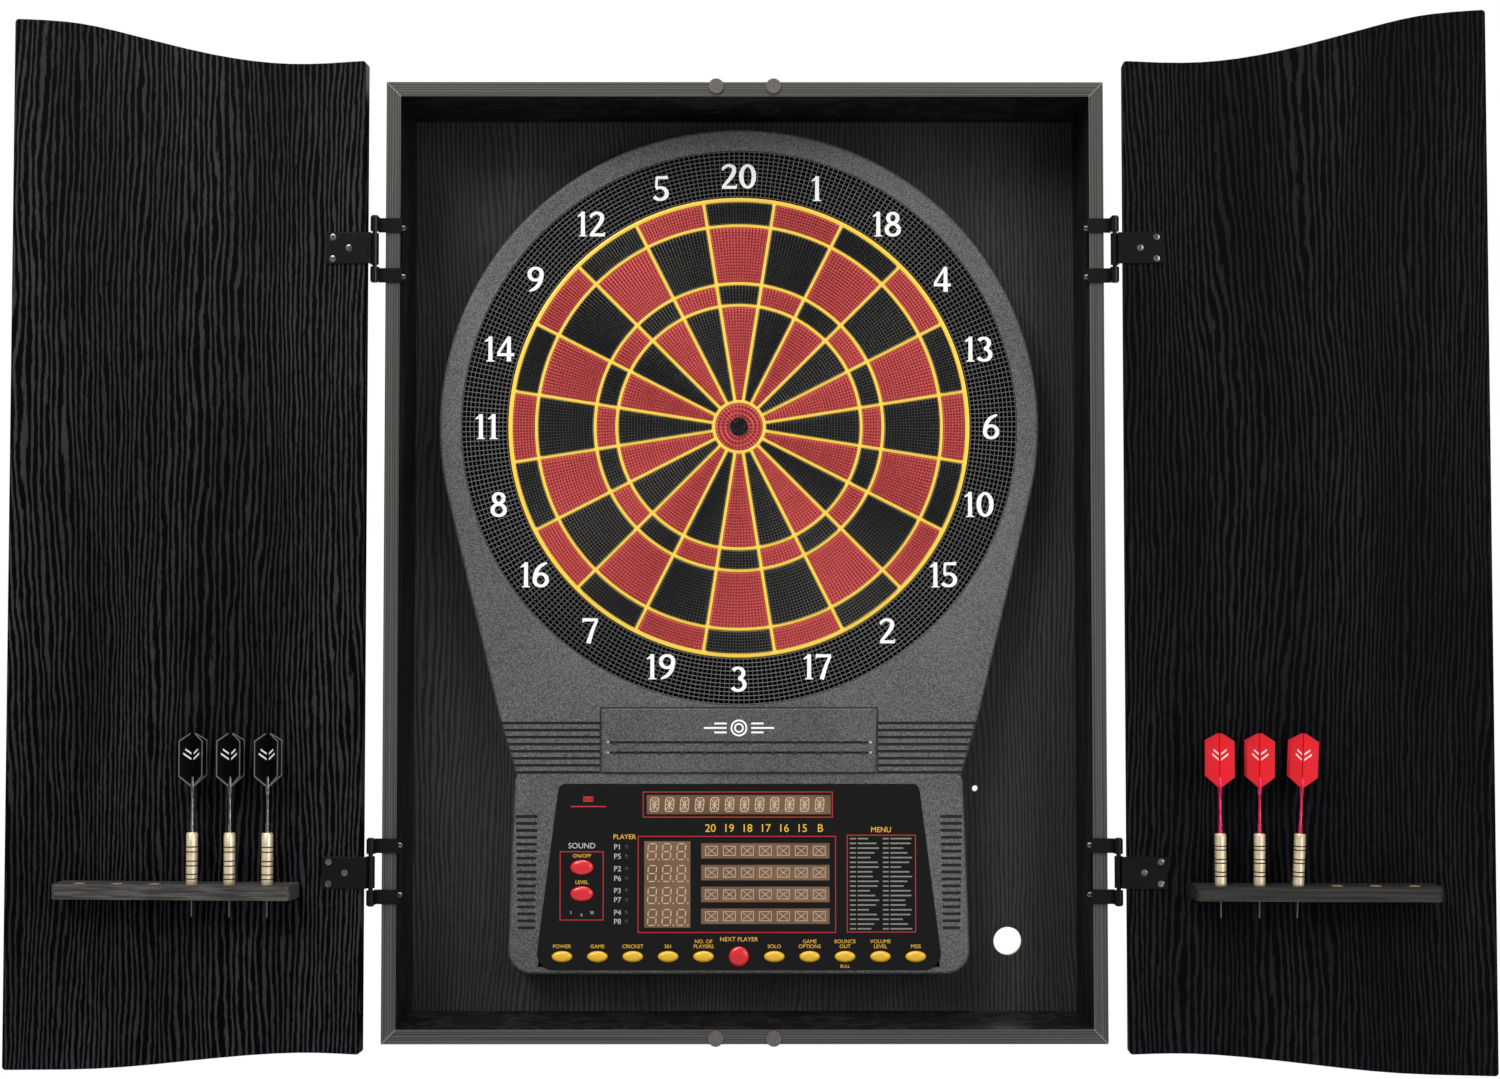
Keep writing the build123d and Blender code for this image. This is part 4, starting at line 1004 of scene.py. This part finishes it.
def control_prints():
    """Everything printed on the control panel: frames, numbers and plain function words."""
    red_frames()
    menu_lines()
    labels = []
    for i in range(len(ROW_NAMES)):
        x = BUTTON_PITCH * (i - 5)
        if i in ONE_LINE:
            labels.append((ONE_LINE[i], x, -327.6, 3.1))
        for line, text in enumerate(TWO_LINES.get(i, ())):
            labels.append((text, x, -323.4 - 4.2 * line, 3.1))
    labels += [("NEXT PLAYER", 0, -321.6, 3.6), ("BULL", BUTTON_PITCH * 3, -344.4, 2.6),
               ("PLAYER", -97.5, -234.8, 4.0), ("MENU", MENU_X, -228.8, 4.4),
               ("ON/OFF", SOUND_X, -250.9, 3.0), ("LEVEL", SOUND_X, -273.3, 3.0)]
    labels += [(text, MARKS_X + 15.6 * (i - 3), -227.6, 6.6)
               for i, text in enumerate(("20", "19", "18", "17", "16", "15", "B"))]
    words("yellow_labels", labels, YELLOW_INK)
    pale = [("SOUND", SOUND_X, -242.4, 4.6), ("I", -143, -299, 2.6), ("II", -134, -301, 2.4),
            ("III", -125, -299, 2.6)]
    pale += [(f"P{n}", PLAYER_X, z, 4.4) for n, z in zip((1, 5, 2, 6, 3, 7, 4, 8), PLAYER_ROWS)]
    words("white_labels", pale, GREY_INK)
    lens = lathe(bmesh.new(), [(0, 0), (1.7, 0), (1.6, 0.25), (1.1, 0.45), (0, 0.55)], 20)
    spots = [(BOARD_X + LAMP_X, OVERLAY_FRONT, z) for z in PLAYER_ROWS]
    repeat("player_lamps", mesh_of(lens, "lens", 50), spots, "cabinet", LAMP_DARK,
           [FACE_OUT_TURN])
    window_prints()


def button(name, material):
    """Domed push button filling its CAD node's outline."""
    node, dome = name + "_button", 2.6
    low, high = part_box(node)
    middle, size = (low + high) / 2, (high - low) / MM
    turns = [radians(12 * i) for i in range(1, 8)]
    crown = [(cos(t) ** 0.62, size.y - dome * (1 - sin(t))) for t in turns]
    bm = lathe(bmesh.new(), [(0, 0), (1, 0), (1, size.y - dome)] + crown + [(0, size.y)], 40)
    stretch = Matrix.Diagonal((size.x / 2, size.z / 2, 1, 1))
    seat = Matrix.Translation((middle.x, high.y, middle.z)) @ FACE_OUT
    bmesh.ops.transform(bm, matrix=seat @ stretch, verts=bm.verts)
    piece = new_piece(name + "_cap", mesh_of(bm, node, 40), node + "_body", material)
    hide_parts(node)


def buttons():
    """The row of eleven and the two beside it."""
    for name in ROW_NAMES + ["sound_on", "sound_level"]:
        red = name in ("next_player", "sound_on", "sound_level")
        button(name, RED_BUTTON if red else YELLOW_BUTTON)


# ================================================================ name pad
TRACKS_Z, EMBLEM_Z = (-154.3, -163.0), -142.0


def name_pad():
    """Painted shadow line round the pad, dark flush shapes painted as the shade of the notches along its two
    tracks, their end pins, and a plain ring emblem.
    """
    # painted shadow: a thin dark frame on the bezel round the pad, where shade falls between pad and bezel
    shadow_line = bmesh.new()
    printed_frame(shadow_line, -119.0, -181.2, 119.0, -124.3, 1.4, BEZEL_FRONT)
    new_piece("pad_seam", mesh_of(outward(shadow_line), "shadow_line"), "cabinet", REAR_PLASTIC)
    # painted shade: dark pieces flush with the plate's face stand where the notches' shade would be
    notch_shade = bmesh.new()
    prism(notch_shade, [(-1.7, -1.9), (1.7, -1.9), (1.7, 0.2), (0.8, 0.9), (-0.8, 0.9), (-1.7, 0.2)], 0, 1.2)
    spots = [(BOARD_X + 19.3 * (i - 5.5), PLATE_FRONT - 0.05, z) for z in TRACKS_Z for i in range(12)]
    repeat("track_notches", mesh_of(notch_shade, "notch_shade"), spots, "cabinet", REAR_PLASTIC)
    pin = lathe(bmesh.new(), [(0, 0), (1.6, 0), (1.5, 0.5), (0.9, 0.8), (0, 0.85)], 20)
    spots = [(BOARD_X + s * 112, PLATE_FRONT + 0.8, z) for s in (-1, 1) for z in TRACKS_Z]
    repeat("track_end_pins", mesh_of(pin, "pin", 50), spots, "cabinet", ZINC, [FACE_OUT_TURN])
    emblem = bmesh.new()
    turns = [2 * pi * i / 36 for i in range(37)]
    for r in (6.4, 3.4):
        stroke_slab(emblem, [(BOARD_X + r * cos(t), EMBLEM_Z + r * sin(t), 1.5) for t in turns],
                    PLATE_FRONT - PRINT_T, PRINT_T)
    for s in (-1, 1):
        for rise, reach in ((0, 30.0), (3.8, 21.0), (-3.8, 21.0)):
            z = EMBLEM_Z + rise
            prism(emblem, corners(BOARD_X + s * 10.5, z - 0.8, BOARD_X + s * reach, z + 0.8),
                  PLATE_FRONT - PRINT_T, PRINT_T)
    new_piece("pad_emblem", mesh_of(outward(emblem), "emblem"), "cabinet", WHITE_INK)


# ================================================================ screws and hinges
def phillips_head(radius, rise):
    """Countersunk screw head, face up, with a cross recess cut into it."""
    head = lathe(bmesh.new(), [(0, -1.4), (radius, -1.4), (radius, -0.12), (radius * 0.93, rise * 0.35),
                               (radius * 0.55, rise * 0.85), (0, rise)], 32)
    host = bpy.data.objects.new("head", mesh_of(head, "head"))
    cutter = bmesh.new()
    for turn in (0, 90):
        made = bmesh.ops.create_cube(cutter, size=MM)["verts"]
        shape = Matrix.Diagonal((radius * 1.25, radius * 0.27, 2.0, 1))
        bmesh.ops.transform(cutter, matrix=Matrix.Rotation(radians(turn), 4, "Z") @ shape, verts=made)
        for vert in made:
            if vert.co.z < 0:
                vert.co.x *= 0.6
                vert.co.y *= 0.6
    tool = bpy.data.objects.new("cross", mesh_of(cutter, "cross"))
    for thing in (host, tool):
        SCENE.collection.objects.link(thing)
    cut = host.modifiers.new("cut", "BOOLEAN")
    cut.object, cut.operation, cut.solver, cut.use_self = tool, "DIFFERENCE", "EXACT", True
    mesh = as_mesh(host)
    bpy.data.objects.remove(tool)
    return smooth_over(mesh, 30)


def screw_heads(name, node, direction_of, body, material):
    """Cross-recessed heads on every screw of a CAD node, each facing out along its direction."""
    spots, turns = [], []
    for number, part in enumerate(islands(node)):
        middle = sum(part, Vector()) / len(part)
        out = Vector(direction_of(middle)).normalized()
        seat = far_end(part, out)
        spin = Matrix.Rotation(0.5 + 1.1 * number, 3, "Z")
        turns.append((out.to_track_quat("Z", "Y").to_matrix() @ spin).to_euler())
        spots.append(seat / MM - out * 0.3)
    piece = repeat(name, phillips_head(2.85, 0.28), spots, body, material, turns)
    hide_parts(node)


def hinges():
    """Hinge brackets and leaves with eased edges, and their screws."""
    for side, s in SIDES.items():
        softened(f"{side}_hinge_brackets", 0.5, BLACK_ENAMEL)
        softened(f"{side}_door_leaves", 0.35, BLACK_ENAMEL)
        lean = DOOR_LEAN[side]
        screw_heads(f"{side}_door_screw_heads", f"{side}_door_screws",
                    lambda spot: (-s * sin(lean), -cos(lean), 0), f"{side}_door", NICKEL)
    screw_heads("bracket_screw_heads", "cabinet_hinge_screws", lambda spot: (-1 if spot.x > 0 else 1, 0, 0),
                "cabinet", NICKEL)


# ================================================================ dart shelves
HINGE_X, HINGE_Y = 308.0, -116.0      # the door pins' line
HOLES_ALONG, HOLE_PITCH, HOLES_OUT = 157.0, 31.2, -28.0
SHELF_TOP = -266.0


def shelf_holes():
    """Raw fibreboard lining in the countersunk dart holes of both shelves."""
    wall = [(4.86, 0.02), (4.2, -0.95), (3.22, -2.38), (3.14, -2.45), (3.14, -11.9), (3.22, -11.95),
            (3.3, -2.6), (4.3, -1.1), (4.95, -0.02)]
    lining = mesh_of(tube(wall, 32), "lining", 40)
    for side, s in SIDES.items():
        lean = DOOR_LEAN[side]
        spots = []
        for hole in range(6):
            along = HOLES_ALONG + HOLE_PITCH * (hole - 2.5)
            spots.append((s * (HINGE_X + along * cos(lean) + HOLES_OUT * sin(lean)),
                          HINGE_Y - along * sin(lean) + HOLES_OUT * cos(lean), SHELF_TOP))
        repeat(f"{side}_shelf_hole_linings", lining.copy(), spots, f"{side}_door", RAW_BOARD)


# ================================================================ darts
DART_LOOKS = {"red": (RED_SHAFT, RED_FILM, RED_FILM), "black": (BLACK_SHAFT, BLACK_FILM, PALE_EDGE)}


def stand_of(dart):
    """Seat of a dart: upright along its lift joint's axis, with its tip's end at the origin."""
    points = [v.co.copy() for v in NODES[f"{dart}_barrel"].data.vertices]
    axis = Vector(next(j for j in frame["joints"] if j["name"] == f"{dart}_lift")["axis"])
    across = (Vector((1, 0, 0)) - axis * axis.x).normalized()
    turn = Matrix((across, axis.cross(across), axis)).transposed()
    return Matrix.Translation(far_end(points, -axis)) @ turn.to_4x4()


# heights along the dart, in millimetres from the tip's end
SHOULDER, NOSE, BARREL_END, VANE_LOW, VANE_TOP = 21.5, 23.7, 68.5, 105.5, 149.5
BARREL_R, GROOVE_W = 4.7, 0.8
GROOVE_DROPS = {"red": (34.4, 30.9, 23.8, 20.8, 13.2, 10.1), "black": (37.6, 33.8, 26.9, 23.0, 15.5, 11.6)}
VANE_HALF_W = {"red": 15.6, "black": 13.6}
VANE_TURN = {"red": radians(38.0), "black": radians(226.0)}


def barrel_profile(grooves):
    """Turned barrel with a narrow groove at each height given."""
    profile = [(0, NOSE), (2.6, NOSE), (BARREL_R, NOSE + 3.6)]
    for height in grooves:
        low, high = height - GROOVE_W / 2, height + GROOVE_W / 2
        profile += [(BARREL_R, low - 0.15), (BARREL_R - 0.5, low), (BARREL_R - 0.5, high),
                    (BARREL_R, high + 0.15)]
    return profile + [(BARREL_R, BARREL_END - 1.0), (BARREL_R - 0.7, BARREL_END), (0, BARREL_END)]


def knurl(turn, height):
    """Diamond pattern rolled into a barrel."""
    return 0.07 * (sin(18 * turn + 3.3 * height) * sin(18 * turn - 3.3 * height) - 1)


def with_steps(profile, step):
    """The same profile with extra rings where a stretch is longer than a step."""
    made = [profile[0]]
    for (r0, z0), (r1, z1) in zip(profile, profile[1:]):
        count = max(1, int(abs(z1 - z0) / step)) if r0 and r1 else 1
        made += [(r0 + (r1 - r0) * i / count, z0 + (z1 - z0) * i / count) for i in range(1, count + 1)]
    return made


def vanes(colour):
    """Four vanes, with the raised edging and the two chevrons of each."""
    half_w = VANE_HALF_W[colour]
    outline = [(0.5, VANE_LOW + 0.3), (1.9, VANE_LOW + 0.3), (half_w, VANE_LOW + 9), (half_w, VANE_TOP - 6),
               (2.5, VANE_TOP), (0.5, VANE_TOP)]
    inner = [(0.5, VANE_LOW + 1.6), (1.5, VANE_LOW + 1.6), (half_w - 0.8, VANE_LOW + 9.6),
             (half_w - 0.8, VANE_TOP - 6.6), (2.4, VANE_TOP - 0.9), (0.5, VANE_TOP - 1.0)]
    layers = film, edging, marks = bmesh.new(), bmesh.new(), bmesh.new()
    for quarter in range(4):
        before = [len(bm.verts) for bm in layers]
        prism(film, outline, -0.16, 0.32)
        for i in range(1, 4):
            prism(edging, [outline[i], outline[i + 1], inner[i + 1], inner[i]], -0.24, 0.48)
        for low, reach in ((VANE_TOP - 22.0, 7.6), (VANE_TOP - 17.5, 5.7)):
            high = low + reach * 0.62
            prism(marks, [(1.6, low), (1.6 + reach, high), (1.6 + reach, high + 1.5), (1.6, low + 1.5)],
                  -0.28, 0.56)
        spin = Matrix.Rotation(VANE_TURN[colour] + radians(90 * quarter), 4, "Z")
        for bm, count in zip(layers, before):
            bm.verts.ensure_lookup_table()
            bmesh.ops.transform(bm, matrix=spin, verts=bm.verts[count:])
    return layers


def dart(colour, number):
    """One dart: barrel, groove rings, tip, shaft, four vanes and their edging."""
    name, slot = f"{colour}_dart_{number}", f"{colour}_flight"
    place = stand_of(name)
    shaft_metal, film_plastic, edge_plastic = DART_LOOKS[colour]

    def finished(bm, label, material):
        bmesh.ops.transform(bm, matrix=place, verts=bm.verts)
        return new_piece(f"{name}_{label}", mesh_of(bm, label, 35), name, material)

    grooves = [BARREL_END - drop for drop in GROOVE_DROPS[colour]]
    profile = barrel_profile(grooves)
    if colour == "red":
        barrel = lathe(bmesh.new(), with_steps(profile, 0.55), 72, knurl)
    else:
        barrel = lathe(bmesh.new(), profile, 40)
    piece = finished(barrel, "turned_barrel", BRASS)
    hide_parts(f"{name}_barrel")

    rings = bmesh.new()
    for height in grooves:
        low, high = height - GROOVE_W / 2, height + GROOVE_W / 2
        lathe(rings, [(0, low), (BARREL_R - 0.2, low), (BARREL_R - 0.2, high), (0, high)], 40)
    finished(rings, "groove_rings", GROOVE_DARK)

    tip = lathe(bmesh.new(), [(0, 0), (0.45, 0.15), (0.58, 0.9), (0.8, SHOULDER - 3), (1.6, SHOULDER),
                              (2.1, SHOULDER + 0.2), (2.1, NOSE), (0, NOSE)], 20)
    finished(tip, "tip", TIP_PLASTIC)

    foot = [(0, 0), (1.9, 0), (1.9, 2.6), (1.45, 3.0), (1.3, 3.8), (1.75, 4.4), (1.85, 7.0), (1.35, 8.4),
            (1.2, 27.5)]
    head = [(1.25, -6), (1.7, -4.6), (1.88, -3.8), (1.88, 1), (1.6, 8), (1.5, 8.4), (0, 8.6)]
    stem = [(r, BARREL_END + z) for r, z in foot] + [(r, VANE_LOW + z) for r, z in head]
    shaft = lathe(bmesh.new(), stem, 28)
    finished(shaft, "shaft", shaft_metal)

    film, edging, marks = vanes(colour)
    piece = finished(film, "vanes", film_plastic)
    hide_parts(f"{name}_flight")
    finished(edging, "vane_edging", edge_plastic)
    finished(marks, "vane_chevrons", WHITE_INK)


# ================================================================ CAD nodes that keep their shape
KEPT = {
    "top_panel": CASE_CROSS, "bottom_panel": CASE_CROSS,
    "left_side_panel": CASE_UPRIGHT, "right_side_panel": CASE_UPRIGHT,
    "back_panel": BACK_FOIL, "door_bumpers": FELT, "hinge_pins": BLACK_ENAMEL,
    "board_bezel": BEZEL_PLASTIC, "nameplate": PLATE_PLASTIC, "board_rear_cover": REAR_PLASTIC,
    "rear_cover_screws": ZINC, "board_hanging_screws": ZINC, "sensor_matrix": SENSOR_FILM,
    "control_overlay": GLOSS_PANEL, "display_module": WINDOW, "circuit_board": LAMINATE,
    "speaker": BLACK_ENAMEL, "power_jack": REAR_PLASTIC,
    "left_door_panel": DOOR_FOIL_LIT_AND_SHADED["left"], "right_door_panel": DOOR_FOIL_LIT_AND_SHADED["right"],
    "left_dart_shelf": SHELF_FOIL_LIT_AND_SHADED["left"], "right_dart_shelf": SHELF_FOIL_LIT_AND_SHADED["right"],
}


def dress():
    """Gives the CAD nodes that keep their shape their finishes."""
    for node, material in KEPT.items():
        slots = NODES[node].material_slots
        if not slots:
            NODES[node].data.materials.append(material)
        for holder in slots:
            holder.material = material


# ================================================================ stage
BULL_HEIGHT = 1730.0                  # how high above the floor a bull hangs, in millimetres
FLOOR_HALF = 5.0                      # metres


def soft_box(name, spot, aim, size, power, tint=(1.0, 0.98, 0.95)):
    """Square studio light at a spot, aimed at a point."""
    lamp = bpy.data.lights.new(name, "AREA")
    lamp.energy, lamp.size, lamp.color = power, size, tint
    holder = bpy.data.objects.new(name, lamp)
    SCENE.collection.objects.link(holder)
    holder.visible_camera = False
    holder.location = spot
    holder.rotation_euler = (Vector(aim) - Vector(spot)).to_track_quat("-Z", "Y").to_euler()


def studio():
    """Pale floor far below, white surroundings, four soft boxes and the camera."""
    floor_z = (TARGET_Z - BULL_HEIGHT) * MM
    bm = bmesh.new()
    bmesh.ops.create_grid(bm, x_segments=1, y_segments=1, size=FLOOR_HALF)
    bmesh.ops.translate(bm, vec=(0, 0, floor_z), verts=bm.verts)
    floor = bpy.data.objects.new("floor", mesh_of(bm, "floor"))
    SCENE.collection.objects.link(floor)
    paint = Finish("pale_floor", 0.7)
    paint.set("Base Color", (0.86, 0.86, 0.85, 1.0))
    floor.data.materials.append(paint.material)

    world = bpy.data.worlds.new("studio")
    SCENE.world = world
    world.use_nodes = True
    tree = world.node_tree
    seen = put_node(tree, "ShaderNodeLightPath", output="Is Camera Ray")
    dim = put_node(tree, "ShaderNodeBackground", {"Color": (0.95, 0.97, 1.0, 1.0), "Strength": 0.32})
    white = put_node(tree, "ShaderNodeBackground", {"Color": (1, 1, 1, 1), "Strength": 1.0})
    both = put_node(tree, "ShaderNodeMixShader", {0: seen, 1: dim, 2: white})
    tree.links.new(both, tree.nodes["World Output"].inputs["Surface"])

    soft_box("key", (-1.3, -2.3, 1.9), (0, 0, 0.05), 1.3, 62.0)
    soft_box("fill", (1.8, -2.5, 0.4), (0, 0, -0.05), 1.6, 26.0, (0.96, 0.98, 1.0))
    soft_box("top", (0.1, -0.9, 2.2), (0, 0, 0.1), 1.2, 30.0)
    soft_box("rear", (0.9, 2.6, 1.5), (0, 0, 0), 1.6, 34.0)

    lens = bpy.data.cameras.new("camera")
    lens.lens, lens.sensor_width = 58.13, 36.0
    camera = bpy.data.objects.new("camera", lens)
    SCENE.collection.objects.link(camera)
    camera.location = (-0.0002, -2.1199, -0.0688)
    camera.rotation_euler = (radians(92.424), 0.0, radians(-0.128))
    SCENE.camera = camera
    SCENE.view_settings.view_transform = "Standard"


# ================================================================ build
segment_block("red_segments", 0, RED_SEGMENT, RED_HOLE_SHADE, 0.46, "red_plastic")
segment_block("black_segments", 1, BLACK_SEGMENT_SHEEN, BLACK_HOLE_SHADE, 0.74, "segment_black")
bull("outer_bull", [(8.4, 12.2, 22), (12.2, 16.0, 30), (16.0, 19.7, 38)], RED_SEGMENT, RED_HOLE_SHADE, 0.5,
     "red_plastic")
bull("inner_bull", [(2.2, 5.0, 8), (5.0, 7.8, 14)], BLACK_SEGMENT_SHEEN, BLACK_HOLE_SHADE, 0.8, "segment_black",
     hub=(2.2, 8))
target_web()
number_ring()
target_numbers()
control_prints()
buttons()
name_pad()
hinges()
shelf_holes()
for colour in ("red", "black"):
    for number in (1, 2, 3):
        dart(colour, number)
dress()
studio()
